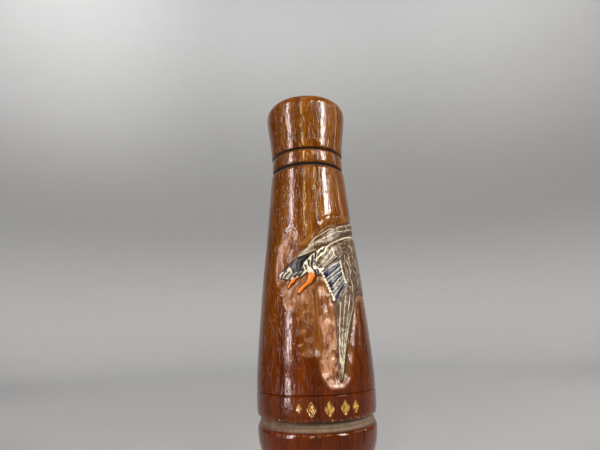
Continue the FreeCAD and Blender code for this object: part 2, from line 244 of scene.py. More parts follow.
def barrel_outline(row):
    """The barrel's half outline as (radius, height), once round from the foot of the bore."""
    rises = np.concatenate([
        np.arange(BAND_FROM, BAND_TO, row),
        V_LINE_RISE + V_LINE_HALF * np.array([-1, -0.45, 0, 0.45, 1]),
        np.arange(V_LINE_RISE + 2 * V_LINE_HALF, CARVED_FROM, row),
        np.arange(CARVED_FROM, CARVED_TO, row),
        np.arange(CARVED_TO + row, BELLY[-1][0], 4 * row),
        [BELLY[-1][0]]])
    groove = np.clip(1 - np.abs(rises - V_LINE_RISE) / V_LINE_HALF, 0, 1) * V_LINE_DEPTH
    outer = list(zip(belly_radius(rises) - groove, rises))
    flare = [(radius, rise) for rise, radius in smooth_path(FLARE, steps=4)]
    dish = [(radius, rise) for rise, radius in smooth_path(DISH, steps=3)]
    foot = [(radius, rise) for rise, radius in FOOT]
    rings = [(radius, rise) for rise, radius in RINGS]
    bore = [(6.35, 72.0), (6.35, 64.5), (7.95, 62.0), (7.95, 40.0), (7.95, 20.0), (7.95, 0.55)]
    outline = [(8.45, 0.05)] + foot + outer + rings + flare + dish + bore
    return [(radius, JOINT + rise) for radius, rise in outline]


def stopper_outline():
    """The stopper's half outline as (radius, height)."""
    shoulder = smooth_path([(14.4, 49.8), (14.7, 49.4), (14.95, 49.22), (14.98, 49.05), (14.8, 48.9),
                            (14.86, 48.6), (15.2, 48.38), (15.26, 48.2), (15.12, 48.08)], steps=3)
    side = smooth_path([(15.3, 47.86), (15.58, 47.6), (15.74, 47.1), (15.76, 46.6), (15.66, 45.0),
                        (15.42, 43.4), (14.9, 41.6), (14.2, 40.1), (13.1, 38.4), (11.9, 37.0), (10.8, 35.6),
                        (9.95, 33.6), (9.62, 31.4), (9.68, 27.5), (9.88, 22.5), (10.1, 19.2)], steps=5)
    bead = smooth_path([(9.85, 18.75), (9.85, 18.45), (10.2, 18.2), (10.3, 17.4), (10.34, 16.5),
                        (10.3, 15.6), (10.2, 14.9), (9.85, 14.65), (9.85, 14.35)], steps=3)
    bell = smooth_path([(10.25, 14.1), (10.5, 12.0), (11.0, 8.8), (11.6, 5.6), (11.95, 3.4),
                        (11.97, 2.4), (11.6, 1.1), (10.9, 0.3), (10.1, 0.0)], steps=5)
    throat = smooth_path([(7.2, 0.0), (6.6, 0.5), (5.6, 2.8), (4.6, 6.6), (4.0, 10.0)], steps=4)
    line = [(15.14, 47.98)]
    bore = [(4.0, 30.0), (4.0, 58.0), (5.6, 58.0), (5.6, 75.8), (5.75, 76.0), (7.35, 76.0)]
    tenon = [(7.85, 75.5)]
    for low, high in ((69.2, 70.8), (55.2, 56.8)):
        tenon += [(7.85, high + 0.08), (7.78, high), (6.65, high), (6.65, low), (7.78, low),
                  (7.85, low - 0.08)]
    tenon += [(7.85, 50.0), (14.2, 50.0)]
    pieces = [shoulder, line, side, bead, bell, throat, bore, tenon]
    return [tuple(point) for piece in pieces for point in piece]


# ---------------------------------------------------------------- modelling

def deselect_all():
    """Leave edit mode with nothing selected."""
    if bpy.context.object and bpy.context.object.mode != "OBJECT":
        bpy.ops.object.mode_set(mode="OBJECT")
    bpy.ops.object.select_all(action="DESELECT")


def turn(name, outline, steps):
    """Turn a closed half outline once about Z: a point is extruded along it, then it is spun."""
    deselect_all()
    bpy.ops.mesh.primitive_plane_add(size=MM, location=(0, 0, 0))
    piece = bpy.context.object
    piece.name = name
    piece.data.name = name
    bpy.ops.object.mode_set(mode="EDIT")
    bpy.ops.mesh.merge(type="CENTER")
    last = Vector((outline[0][0], 0, outline[0][1])) * MM
    bpy.ops.transform.translate(value=last)
    for radius, height in outline[1:] + outline[:1]:
        place = Vector((radius, 0, height)) * MM
        bpy.ops.mesh.extrude_region_move(TRANSFORM_OT_translate={"value": place - last})
        last = place
    bpy.ops.mesh.select_all(action="SELECT")
    bpy.ops.mesh.remove_doubles(threshold=0.005 * MM)
    bpy.ops.mesh.spin(steps=steps, angle=2 * pi, center=(0, 0, 0), axis=(0, 0, 1))
    bpy.ops.mesh.select_all(action="SELECT")
    bpy.ops.mesh.remove_doubles(threshold=0.005 * MM)
    bpy.ops.mesh.normals_make_consistent(inside=False)
    bpy.ops.object.mode_set(mode="OBJECT")
    return piece


def smooth(piece, angle=40):
    """Shade a piece smooth but keep its sharp edges."""
    deselect_all()
    piece.select_set(True)
    bpy.context.view_layer.objects.active = piece
    bpy.ops.object.shade_smooth_by_angle(angle=radians(angle))
    deselect_all()


def places_of(piece):
    """The piece's vertices in millimetres."""
    places = np.empty(len(piece.data.vertices) * 3)
    piece.data.vertices.foreach_get("co", places)
    return places.reshape(-1, 3) / MM


def move_to(piece, places):
    """Put the piece's vertices at places in millimetres."""
    piece.data.vertices.foreach_set("co", (places * MM).ravel())
    piece.data.update()


def store(piece, name, values):
    """Keep one number for each vertex, for the material to read."""
    attribute = piece.data.attributes.new(name, "FLOAT", "POINT")
    attribute.data.foreach_set("value", np.asarray(values, np.float32))


def finish_piece(piece, body, node, material):
    """Give a piece its body and its material, and hide the node that it stands for."""
    piece.data.materials.clear()
    piece.data.materials.append(material)
    if body:
        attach(piece, body)
    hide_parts(node)


# ---------------------------------------------------------------- the carved duck

# Closed outlines, drawn as (degrees round the barrel, height above the foot)
TAIL = [(-36.2, 86.3), (-33.3, 87.1), (-26.8, 88.1), (-19.9, 89.3), (-15.8, 90.0), (-17.2, 88.8),
        (-18.2, 87.6), (-17.2, 86.4), (-19.1, 85.9), (-27.3, 85.9)]
TAIL_SPOT = [(-25.9, 87.4), (-29.4, 86.3), (-22.9, 86.1)]
TAIL_EDGE = [(-40.2, 85.2), (-36.2, 86.4), (-27.3, 86.0), (-19.1, 86.0), (-11.3, 86.3), (-5.8, 86.5),
             (-7.2, 85.9), (-11.3, 85.1), (-15.5, 84.6), (-23.4, 84.2), (-32.8, 84.5)]
RUMP = [(-15.1, 90.1), (-6.7, 90.6), (-0.9, 91.0), (5.5, 91.6), (0.4, 90.5), (-5.4, 89.4),
        (-9.0, 88.3), (-9.7, 87.1), (-7.1, 86.3), (-11.3, 86.1), (-16.9, 86.0), (-18.7, 87.1),
        (-18.4, 88.5)]
FLANK = [(-4.0, 89.5), (-0.3, 90.4), (3.3, 90.9), (7.9, 91.7), (14.8, 92.6), (18.2, 92.2),
         (15.2, 90.8), (9.2, 89.8), (5.7, 89.0), (3.9, 88.0), (3.9, 87.3), (7.9, 86.8), (14.0, 86.9),
         (9.4, 85.8), (6.6, 85.2), (0.9, 85.4), (-4.5, 85.7), (-6.6, 86.2), (-9.7, 87.0),
         (-9.2, 88.3)]
NEAR_WING = [(2.5, 87.3), (6.5, 89.7), (12, 90.9), (18.8, 92.3), (30, 93.7), (40, 94.8),
             (50, 95.6), (60, 96.0), (74, 96.3), (84, 94), (86.5, 89), (80, 83), (70, 80.6),
             (60, 80.3), (54, 79.8), (48.5, 78.2), (42, 73.5), (33.5, 67.5), (27.5, 62.5),
             (23.4, 59.3), (21.6, 59.5), (21.2, 63), (21.4, 67), (22.2, 73), (22.0, 78.4),
             (26, 79.3), (33.5, 81.4), (37.8, 83.8), (34.0, 88.2), (30, 89.1), (22, 88.4),
             (13, 86.9), (6, 86.4)]
FAR_WING = [(-16, 90.3), (-8, 92.0), (0, 93.4), (12, 96.0), (22, 97.6), (35, 98.7), (60, 100.2),
            (85, 101.8), (97, 102.6), (101, 101.4), (96, 99.4), (84, 97.6), (70, 96.7),
            (60, 96.4), (50, 95.9), (40, 95.1), (30, 94.0), (18, 92.7), (8, 91.9), (0, 91.6),
            (-8, 90.9)]
SPECULUM = [(6.4, 85.4), (13.5, 86.6), (21.3, 87.8), (29.0, 88.8), (33.8, 88.9), (35.6, 87.3),
            (36.9, 85.6), (38.4, 83.3), (35.3, 81.9), (29.3, 80.1), (23.6, 78.1), (19.6, 78.2),
            (19.6, 79.8), (17.8, 82.1), (14.3, 84.2), (10.6, 85.3)]
BREAST = [(74, 96.2), (84, 97.3), (96, 98.0), (104, 98.0), (109, 96.6), (110.5, 93.6),
          (108, 89.6), (102, 85.6), (94, 82), (84, 79.6), (74, 79.2), (68, 80.2), (78, 82.6),
          (85, 88), (83, 93.5)]
HEAD = [(109.5, 97.2), (114, 98.9), (119, 100.8), (125, 101.9), (131, 101.0), (134.5, 98.9),
        (134, 96.6), (130, 95.0), (124, 94.6), (117.5, 93.7), (111.8, 92.0), (112, 94.6)]
NECK_RING = [(106.4, 97.6), (109.6, 97.6), (112.4, 94.8), (112.4, 91.6), (109.4, 90.6),
             (110, 93.6)]
BILL = [(133.4, 99.4), (138, 98.2), (144, 97.5), (149.5, 96.9), (149, 95.7), (143, 95.3),
        (137, 95.2), (132.6, 95.9)]
NEAR_FOOT = [(-3.6, 85.7), (2.2, 85.4), (0.9, 84.2), (-2.9, 82.9), (-8.9, 82.0), (-12.9, 80.9),
             (-16.0, 80.4), (-16.5, 81.3), (-12.9, 82.2), (-8.1, 83.2), (-5.4, 84.3)]
FAR_FOOT = [(-17.4, 84.7), (-20.8, 83.5), (-24.6, 82.9), (-27.4, 82.0), (-28.7, 82.1), (-25.8, 83.6),
            (-22.6, 84.3)]
RECESS = [(-46, 92), (-41, 95.2), (-30, 97.4), (-21.5, 97.2), (-18.5, 94.4), (-12, 93.6),
          (0, 96.0), (10, 98.8), (20, 100.6), (35, 101.4), (60, 102.2), (90, 104.0), (120, 104.6),
          (146, 102.6), (158, 98.5), (156, 92.5), (140, 88), (122, 84), (104, 78.4), (84, 77.2),
          (62, 78.2), (52, 77.2), (47.5, 73), (42.8, 69), (37, 64), (32.4, 59.6), (27, 57.8),
          (21, 57.2), (12, 57.6), (6, 58.8), (2.4, 61.4), (0, 64.4), (-4, 64.8), (-9, 64.8),
          (-13.4, 66.4), (-15.8, 70), (-16.5, 73), (-19.5, 76), (-27, 75.8), (-33, 78.4),
          (-34, 81.4), (-42, 82.6), (-46, 86.6)]
# Gouge cuts that are seen from the front: place, half width, length, lean, depth, 1 for a stop cut
CUTS = [(-5.5, 78.6, 1.7, 2.4, 0, 0.8, 1), (-6, 76.2, 1.8, 2.2, 0, 0.9, 1),
        (-5.2, 73.8, 1.8, 2.4, 0, 0.9, 1), (-10.6, 71.4, 1.5, 2.6, 0, 0.8, 1),
        (-12.8, 74.8, 1.4, 3.0, 0, 0.6, 1), (-6.2, 69.4, 1.6, 2.6, 0, 0.8, 1),
        (-8.2, 66.2, 1.5, 2.6, -6, 0.9, 1), (-12.6, 68.0, 1.1, 2.2, -4, 0.6, 1),
        (0.6, 77.5, 1.1, 5.0, 2, 0.5, 0), (0.8, 71.0, 1.3, 5.0, 0, 0.6, 0),
        (3.6, 66.0, 1.4, 5.5, 8, 0.9, 0), (6.0, 76.0, 1.4, 5.0, 4, 0.7, 0),
        (6.6, 70.6, 1.3, 4.6, 4, 0.6, 0), (8.6, 61.6, 1.5, 4.4, 12, 0.9, 1),
        (12.4, 59.4, 1.3, 2.4, 20, 0.8, 1), (10.6, 80.6, 1.7, 3.0, -8, 0.7, 1),
        (12.4, 77.0, 1.2, 3.4, -14, 0.7, 0), (14.8, 74.4, 1.5, 2.6, 10, 0.8, 0),
        (14.2, 71.0, 1.0, 3.2, -6, 0.7, 0), (16.6, 68.4, 1.5, 3.4, 12, 0.8, 0),
        (16.0, 64.8, 1.1, 2.4, -4, 0.7, 1), (18.6, 62.4, 1.3, 3.0, 16, 0.8, 0),
        (19.8, 60.2, 1.0, 2.2, 14, 1.0, 1), (28.4, 61.5, 1.2, 3.4, -22, 0.8, 0),
        (33.4, 66.0, 1.2, 4.0, -26, 0.7, 0), (40.0, 70.6, 1.3, 4.0, -34, 0.6, 0),
        (-38, 93.0, 2.6, 3.6, 8, 0.9, 0), (-31.5, 94.0, 1.8, 3.6, 0, 0.8, 0),
        (-25.6, 94.6, 1.6, 2.6, 0, 0.7, 1), (-38.6, 88.4, 2.0, 2.0, 30, 0.6, 0),
        (-30.8, 80.4, 1.7, 2.2, 20, 0.8, 1), (-24.6, 78.4, 1.6, 2.0, 0, 0.9, 1),
        (-19.6, 79.4, 1.5, 2.4, 0, 0.7, 1), (-38, 84.0, 2.0, 1.6, 40, 0.6, 0),
        (-13.5, 78.6, 1.3, 2.4, 0, 0.6, 1), (-9, 94.6, 1.7, 1.4, -60, 0.6, 0),
        (2, 96.0, 1.4, 1.4, -60, 0.5, 0)]

# Open lines, drawn one by one
FLANK_BARS = [[(0.5, 90.0), (-0.1, 88.4)], [(4.4, 91.1), (3.4, 89.4)], [(10.8, 91.5), (7.3, 90.2)],
              [(15.8, 92.3), (12.1, 91.0)], [(-4.4, 88.9), (-3.4, 87.5)], [(-8.1, 87.7), (-6.6, 86.7)],
              [(-0.5, 87.7), (-0.1, 86.8)], [(1.7, 86.4), (3.2, 85.4)], [(5.2, 86.4), (6.6, 85.5)],
              [(2.9, 88.6), (2.7, 87.8)]]
TAIL_BARS = [[(-32.5, 86.3), (-36.4, 85.0)], [(-26.8, 86.1), (-31.6, 84.7)],
             [(-20.2, 86.0), (-25.9, 84.5)], [(-14.8, 86.2), (-19.8, 84.7)], [(-10.4, 86.2), (-14.6, 85.0)]]
CREAM_LINES = [
    [(-15.2, 90.3), (-8, 91.7), (-2.1, 92.8), (4, 93.7), (12, 94.6), (20, 95.4), (30, 96.4)],
    [(-8.6, 91.0), (-2.2, 92.3), (4.6, 93.4), (13.0, 94.0)],
    [(-14.6, 90.2), (-5.2, 91.0), (4.3, 91.9)],
    [(-4, 92.9), (4, 94.9), (13, 96.1), (22.5, 97.4), (29, 97.6)],
    [(4.6, 86.7), (11.3, 88.5), (16.9, 89.9), (23.7, 92.0)],
    [(11.6, 87.2), (17.9, 88.7), (24.4, 90.3), (26.7, 92.2)],
    [(12.2, 87.1), (21.5, 88.5), (29.2, 90.0)],
    [(8, 90.0), (14, 91.1), (19, 91.9)],
    [(41, 90.4), (40.4, 89.2), (44.1, 88.5), (46.2, 87.1), (47.2, 85.6), (44.8, 84.5), (47.5, 82.6),
     (46.5, 80.9)],
    [(48.4, 91.0), (47.4, 89.4), (49.6, 87.6)],
    [(22.9, 60.0), (24.6, 62.4), (27.9, 66.6), (33.4, 71.4), (40, 75), (46.6, 78.4)],
    [(22.0, 63.4), (22.5, 67), (24.2, 72), (27.8, 77.8)],
    [(22.6, 62.2), (25.4, 68.5), (29.5, 74), (34.8, 79.4)],
    [(23.6, 61.6), (28.4, 69.0), (35, 75), (41.5, 80.0)],
    [(34, 97.9), (44, 98.8), (52, 99.0)], [(50, 97.7), (66, 98.6), (80, 99)],
    [(24, 96.2), (36, 97), (48, 97.3)], [(58, 99.6), (78, 100.6), (94, 100.8)],
    [(52, 93.4), (58, 92.4), (57, 90.2), (62, 88.8)], [(66, 94), (71, 92.2), (69, 89.6), (74, 87.6)],
    [(55, 86.4), (60, 85.4), (59, 83.2), (64, 81.8)], [(68, 86.4), (72, 84.8), (71, 82.8)]]
THICK_CREAM = [[(17.4, 92.3), (24, 93.4), (33.4, 94.4), (47.3, 95.5), (60, 96.1), (74, 96.5), (85, 94.6)],
               [(24.7, 92.1), (26.0, 90.3)], [(34.1, 88.8), (35.7, 86.9)]]
SPECULUM_LINES = [[(12.5, 85.8), (22.7, 87.4), (32.4, 88.5)], [(16.2, 84.3), (24.3, 85.8), (33.8, 87.3)],
                  [(16.9, 83.4), (24.5, 84.8), (34.8, 86.2)], [(20.7, 81.8), (26.9, 83.4), (34.9, 84.9)],
                  [(21.3, 80.7), (27.2, 82.3), (35.6, 84.1)], [(21.6, 79.5), (29.2, 81.5), (35.9, 83.0)]]
DOT_ROWS = [((10.9, 85.4), (21.2, 79.2), 9), ((35.6, 86.2), (38.4, 83.2), 5), ((21.2, 78.6), (21.3, 78.7), 2)]
EYE = (125.4, 99.3)
# Where flat cuts in the carved ground catch the light: closed outlines that get a painted highlight
SHEEN_FACETS = [
    [(-43.2, 92.9), (-31.6, 96.4), (-19.4, 97.2), (-19.3, 93.8), (-24.1, 90.4), (-39.3, 90.8)],
    [(-32.8, 79.8), (-20.1, 79.8), (-19.1, 76.8), (-26.6, 75.9), (-32.6, 77.5)],
    [(5.4, 82.1), (13.1, 81.6), (15.6, 79.5), (10.9, 77.8), (5.2, 79.1)],
    [(9.7, 77), (18.4, 78.3), (20.9, 76.5), (15.1, 74.6), (9.2, 74.8)],
    [(4.2, 74.1), (12.1, 74.6), (17.6, 73.1), (21.3, 69.2), (23.1, 65.9), (22.9, 62.2), (19.8, 58.2),
     (9.8, 57.9), (2.9, 62.9), (7.5, 67.7)]]
MARKS = [(-17, 53.6, 0.55), (-6, 53.2, 1), (9.5, 53.2, 1), (24, 53.2, 1), (35, 53.2, 0.8)]
MARK_HALF_WIDTH = 1.25
MARK_HALF_HEIGHT = 1.95
GOUGE_SEED = 11


def on_barrel(points):
    """Places unrolled from the barrel: arc length round it and height."""
    points = np.asarray(points, float)
    radius = belly_radius(points[:, 1] - JOINT)
    return np.column_stack([np.radians(points[:, 0]) * radius, points[:, 1]])


def closed(points):
    """A hand-drawn outline as a smooth closed path on the unrolled barrel."""
    return smooth_path(on_barrel(points), closed=True, steps=5)


def line(points):
    """A hand-drawn line as a smooth open path on the unrolled barrel."""
    return smooth_path(on_barrel(points), steps=5)


def area(places, *outlines):
    """Depth inside the nearest of several outlines."""
    return np.max([depth_inside(places, closed(points)) for points in outlines], axis=0)


def lines(places, paths):
    """Distance to the nearest of several lines, and that distance signed by its side."""
    near = np.full(len(places), 1e9)
    side = np.full(len(places), 1e9)
    for points in paths:
        distance, signed = path_distance(places, line(points))
        closer = distance < near
        near[closer] = distance[closer]
        side[closer] = signed[closer]
    return near, side


def gouge_cut(places, centre, width, length, lean, strength, stop):
    """Depth of one gouge cut, where 1 is a full cut; a stop cut ends abruptly at its lower end."""
    offset = places - centre
    u = (offset[:, 0] * cos(lean) - offset[:, 1] * sin(lean)) / width
    v = (offset[:, 0] * sin(lean) + offset[:, 1] * cos(lean)) / length
    v = np.where((v < 0) & (stop > 0), v * 2.6, v)
    return strength * np.clip(1 - u * u - v * v, 0, None)


def gouge_strokes(places, recess):
    """Depth of overlapping gouge strokes that cover the recess and scallop its edge."""
    random = np.random.default_rng(GOUGE_SEED)
    depth = np.zeros(len(places))
    for angle, height, width, length, lean, strength, stop in CUTS:
        centre = on_barrel([(angle, height)])[0]
        cut = gouge_cut(places, centre, width, length, radians(lean), strength, stop)
        depth = np.maximum(depth, cut)
    seen_edge = on_barrel([(44, 90)])[0][0]
    low = recess.min(axis=0)
    high = recess.max(axis=0)
    across, along = 1.9, 3.4
    row = 0
    for height in np.arange(low[1], high[1], along * 0.78):
        row += 1
        for start in np.arange(low[0] + (row % 2) * across / 2, high[0], across * 0.82):
            centre = np.array([start, height]) + random.uniform(-0.5, 0.5, 2)
            lean = random.uniform(-0.35, 0.35) - 0.25
            width = across * random.uniform(0.8, 1.2)
            length = along * random.uniform(0.85, 1.25)
            strength = random.uniform(0.55, 1.0)
            hidden = centre[0] > seen_edge or centre[1] > 96
            if not hidden or depth_inside(centre[None, :], recess)[0] < 0.35:
                continue
            depth = np.maximum(depth, gouge_cut(places, centre, width, length, lean, strength, 0))
    return depth


def grain_noise(places, scale, seed):
    """Smooth noise from -1 to 1 for places on the unrolled barrel."""
    return np.array([noise.noise(Vector((x / scale, y / scale, seed))) for x, y in places])


def carve_duck(piece, sizes):
    """Cut the recess, the gouge strokes, the duck's relief and the band's marks into the barrel,
    and leave what each vertex is painted with."""
    places = places_of(piece)
    radius = np.hypot(places[:, 0], places[:, 1])
    turn_angle = np.degrees(np.arctan2(places[:, 0], -places[:, 1]))
    turn_angle = np.where(turn_angle < -110, turn_angle + 360, turn_angle)
    rise = places[:, 2] - JOINT
    outside = (radius > 10.2) & (rise > 1.0) & (rise < 60)
    near = outside & (turn_angle > -55) & (turn_angle < 170)
    unrolled = np.column_stack([np.radians(turn_angle) * belly_radius(rise), places[:, 2]])[near]

    recess = closed(RECESS)
    ground = depth_inside(unrolled, recess)
    wings = area(unrolled, NEAR_WING, FAR_WING)
    near_wing = area(unrolled, NEAR_WING)
    speculum = area(unrolled, SPECULUM)
    rump = area(unrolled, RUMP)
    tail = area(unrolled, TAIL)
    white = area(unrolled, FLANK, TAIL_EDGE, TAIL_SPOT, NECK_RING)
    feet = area(unrolled, NEAR_FOOT, FAR_FOOT)
    breast = area(unrolled, BREAST)
    head = area(unrolled, HEAD)
    bill = area(unrolled, BILL)
    bird = np.max([wings, speculum, rump, tail, white, feet, breast, head, bill], axis=0)
    cream_near, cream_side = lines(unrolled, CREAM_LINES)
    thick_near, thick_side = lines(unrolled, THICK_CREAM)
    bar_near, bar_side = lines(unrolled, FLANK_BARS + TAIL_BARS)
    speculum_near, speculum_side = lines(unrolled, SPECULUM_LINES)
    dots = np.full(len(unrolled), OUTSIDE)
    for start, end, count in DOT_ROWS:
        for share in np.linspace(0, 1, count):
            centre = on_barrel([np.array(start) * (1 - share) + np.array(end) * share])[0]
            dots = np.maximum(dots, 0.34 - np.linalg.norm(unrolled - centre, axis=1))
    eye = 0.5 - np.linalg.norm(unrolled - on_barrel([EYE])[0], axis=1)

    # the two ends of the primary feathers give the run of the barbs
    left_edge, _ = path_distance(unrolled, line([(21.4, 60), (21.3, 64), (21.8, 70), (22.4, 78.4)]))
    right_edge, _ = path_distance(unrolled, line([(24, 60), (28, 63), (34, 68), (42.4, 73.6), (49, 78.4)]))
    feather = left_edge / np.maximum(left_edge + right_edge, 1e-6)

    strokes = gouge_strokes(unrolled, recess)
    beside = np.exp(-np.clip(-bird, 0, None) / 2.2)
    floor = sizes.recess_depth * ease(ground, 0.0, 2.6) * (0.45 + 0.75 * beside)
    floor = (floor + sizes.gouge_depth * strokes) * ease(ground, -1.2, -0.1)
    angles = turn_angle[near]
    floor = floor * (1 - 0.80 * ease(angles, 46, 58) * (1 - ease(angles, 100, 118)))
    off_bird = ease(-bird, -0.05, 0.45)
    # painted sheen: share of the pale cut colour on steep ground close to the duck, below 83 mm and mostly
    # left of 25 degrees, where the left lamp's sheen falls
    wall_sheen = np.exp(-np.clip(-bird, 0, None) / 1.1) * off_bird * ease(ground, 0, 1)
    wall_sheen = wall_sheen * ease(83 - unrolled[:, 1], 0, 2) * (0.25 + 0.75 * ease(25 - turn_angle[near], 0, 4))
    # painted highlight on the flat cuts, dimmer left of -10 degrees
    sheen_facets = area(unrolled, *SHEEN_FACETS)
    lit_side = 0.45 + 0.55 * ease(angles, -10, 0)
    wall_sheen = np.maximum(wall_sheen, 0.55 * lit_side * ease(sheen_facets, -0.15, 0.45) * off_bird)
    pillow = 0.30 * (1 - ease(bird, 0.0, 0.9))
    part_steps = (0.10 * ease(speculum, -0.1, 0.25)
                  - 0.12 * ease(near_wing, -0.05, 0.4) * ease(-speculum, 0, 0.3))
    primaries = ease(80 - unrolled[:, 1], 0, 2) * ease(near_wing, 0, 0.3)
    vanes = 0.09 * np.abs(np.sin(feather * 5 * pi)) * primaries
    furrows = 0.10 * np.clip(1 - np.abs(cream_near - 0.30) / 0.22, 0, 1)
    furrows += 0.14 * np.clip(1 - speculum_near / 0.3, 0, 1) * ease(speculum, 0, 0.2)
    tool_marks = 0.05 * grain_noise(unrolled, 1.6, 3.0) + 0.03 * grain_noise(unrolled, 0.7, 9.0)
    on_bird = 0.08 + pillow + part_steps + furrows - vanes + tool_marks
    depth = floor * off_bird + on_bird * (1 - off_bird)
    depth += 0.05 * tool_marks * off_bird

    lozenge = np.full(len(unrolled), OUTSIDE)
    for angle, height, share in MARKS:
        centre = on_barrel([(angle, height)])[0]
        offset = np.abs(unrolled - centre)
        this = 1 - offset[:, 0] / (MARK_HALF_WIDTH * share) - offset[:, 1] / (MARK_HALF_HEIGHT * share)
        lozenge = np.maximum(lozenge, this)
    gold = np.maximum(lozenge * MARK_HALF_WIDTH, OUTSIDE)
    border = np.clip(1 - np.abs(lozenge - 0.30) / 0.30, 0, 1)
    pit = np.clip((lozenge - 0.62) / 0.38, 0, 1)
    depth += sizes.chip_depth * (border + 0.8 * pit)

    moved = places[near]
    scale = (radius[near] - depth) / radius[near]
    moved[:, :2] *= scale[:, None]
    places[near] = moved
    move_to(piece, places)

    painted = {
        "carving": ease(ground, -0.3, 0.5), "gouge": strokes * off_bird, "cut_sheen_share": wall_sheen,
        "bird": bird, "feather": feather, "primaries": primaries,
        "speculum": speculum, "rump": rump, "tail": tail, "white": white, "feet": feet,
        "breast": breast, "head": head, "bill": bill, "eye": eye, "dots": dots, "gold": gold,
        "cream_near": cream_near, "cream_side": cream_side, "thick_near": thick_near,
        "thick_side": thick_side, "bar_near": bar_near, "bar_side": bar_side,
        "streak_near": speculum_near, "streak_side": speculum_side}
    zero_outside = {"carving", "gouge", "cut_sheen_share", "feather", "primaries"}
    far_outside = {"cream_near", "cream_side", "thick_near", "thick_side", "bar_near", "bar_side",
                   "streak_near", "streak_side"}
    for name, values in painted.items():
        blank = 0.0 if name in zero_outside else (-OUTSIDE if name in far_outside else OUTSIDE)
        whole = np.full(len(places), blank)
        whole[near] = values
        store(piece, name, whole)


# ---------------------------------------------------------------- shader helpers

def add_node(tree, kind, settings=None, sockets=None):
    """Add a shader node; each socket is given a constant or the socket that feeds it."""
    made = tree.nodes.new("ShaderNode" + kind)
    for name, value in (settings or {}).items():
        setattr(made, name, value)
    for name, value in (sockets or {}).items():
        socket = made.inputs[name]
        if isinstance(value, bpy.types.NodeSocket):
            tree.links.new(value, socket)
        else:
            socket.default_value = value
    return made


def rgba(colour):
    """A colour with full alpha."""
    return (*colour, 1.0)


def layer(tree, share, under, over, blend_type="MIX"):
    """Lay one colour over another by a share."""
    mix = add_node(tree, "Mix", {"data_type": "RGBA", "blend_type": blend_type, "clamp_factor": False},
                   {0: share, 6: under, 7: over})
    return mix.outputs[2]


def calc(tree, operation, first, second=0.0, third=0.0):
    """One step of arithmetic on values."""
    settings = {"operation": operation}
    return add_node(tree, "Math", settings, {0: first, 1: second, 2: third}).outputs[0]


def ramp(tree, value, low, high, to_low=0.0, to_high=1.0, smooth_step=True):
    """Map a range of values to another, held at both ends."""
    settings = {"interpolation_type": "SMOOTHSTEP" if smooth_step else "LINEAR"}
    sockets = {"Value": value, "From Min": low, "From Max": high, "To Min": to_low, "To Max": to_high}
    return add_node(tree, "MapRange", settings, sockets).outputs[0]


def stored(tree, name):
    """A number kept on the vertices."""
    return add_node(tree, "Attribute", {"attribute_name": name}).outputs["Fac"]


def object_place(tree, stretch=(1, 1, 1)):
    """Object coordinates, stretched."""
    coordinates = add_node(tree, "TexCoord").outputs["Object"]
    return add_node(tree, "Mapping", None, {"Vector": coordinates, "Scale": stretch}).outputs[0]


def speckle(tree, place, scale, detail=2.0, roughness=0.5, distortion=0.0):
    """Noise at a place, as a value round one half."""
    sockets = {"Vector": place, "Scale": scale, "Detail": detail, "Roughness": roughness,
               "Distortion": distortion}
    return add_node(tree, "TexNoise", None, sockets).outputs["Fac"]


def new_group(name, inputs, outputs):
    """An empty shader node group: inputs and outputs are (name, kind, default) rows."""
    group = bpy.data.node_groups.new(name, "ShaderNodeTree")
    for title, kind, default in inputs:
        socket = group.interface.new_socket(title, in_out="INPUT", socket_type="NodeSocket" + kind)
        socket.default_value = default
    for title, kind in outputs:
        group.interface.new_socket(title, in_out="OUTPUT", socket_type="NodeSocket" + kind)
    return group, group.nodes.new("NodeGroupInput").outputs, group.nodes.new("NodeGroupOutput").inputs


def use_group(tree, group, sockets):
    """Place a node group in a material."""
    made = tree.nodes.new("ShaderNodeGroup")
    made.node_tree = group
    for name, value in sockets.items():
        if isinstance(value, bpy.types.NodeSocket):
            tree.links.new(value, made.inputs[name])
        else:
            made.inputs[name].default_value = value
    return made.outputs


def new_material(name, **constants):
    """A material with a Principled shader whose constant sockets are set; gives tree and shader."""
    material = bpy.data.materials.new(name)
    material.use_nodes = True
    shader = material.node_tree.nodes["Principled BSDF"]
    for title, value in constants.items():
        shader.inputs[title.replace("_", " ")].default_value = value
    return material, material.node_tree, shader


def set_bump(tree, shader, height, strength=1.0):
    """Feed heights in millimetres to the shader as a bump."""
    bump = add_node(tree, "Bump", None, {"Strength": strength, "Distance": MM, "Height": height})
    tree.links.new(bump.outputs[0], shader.inputs["Normal"])


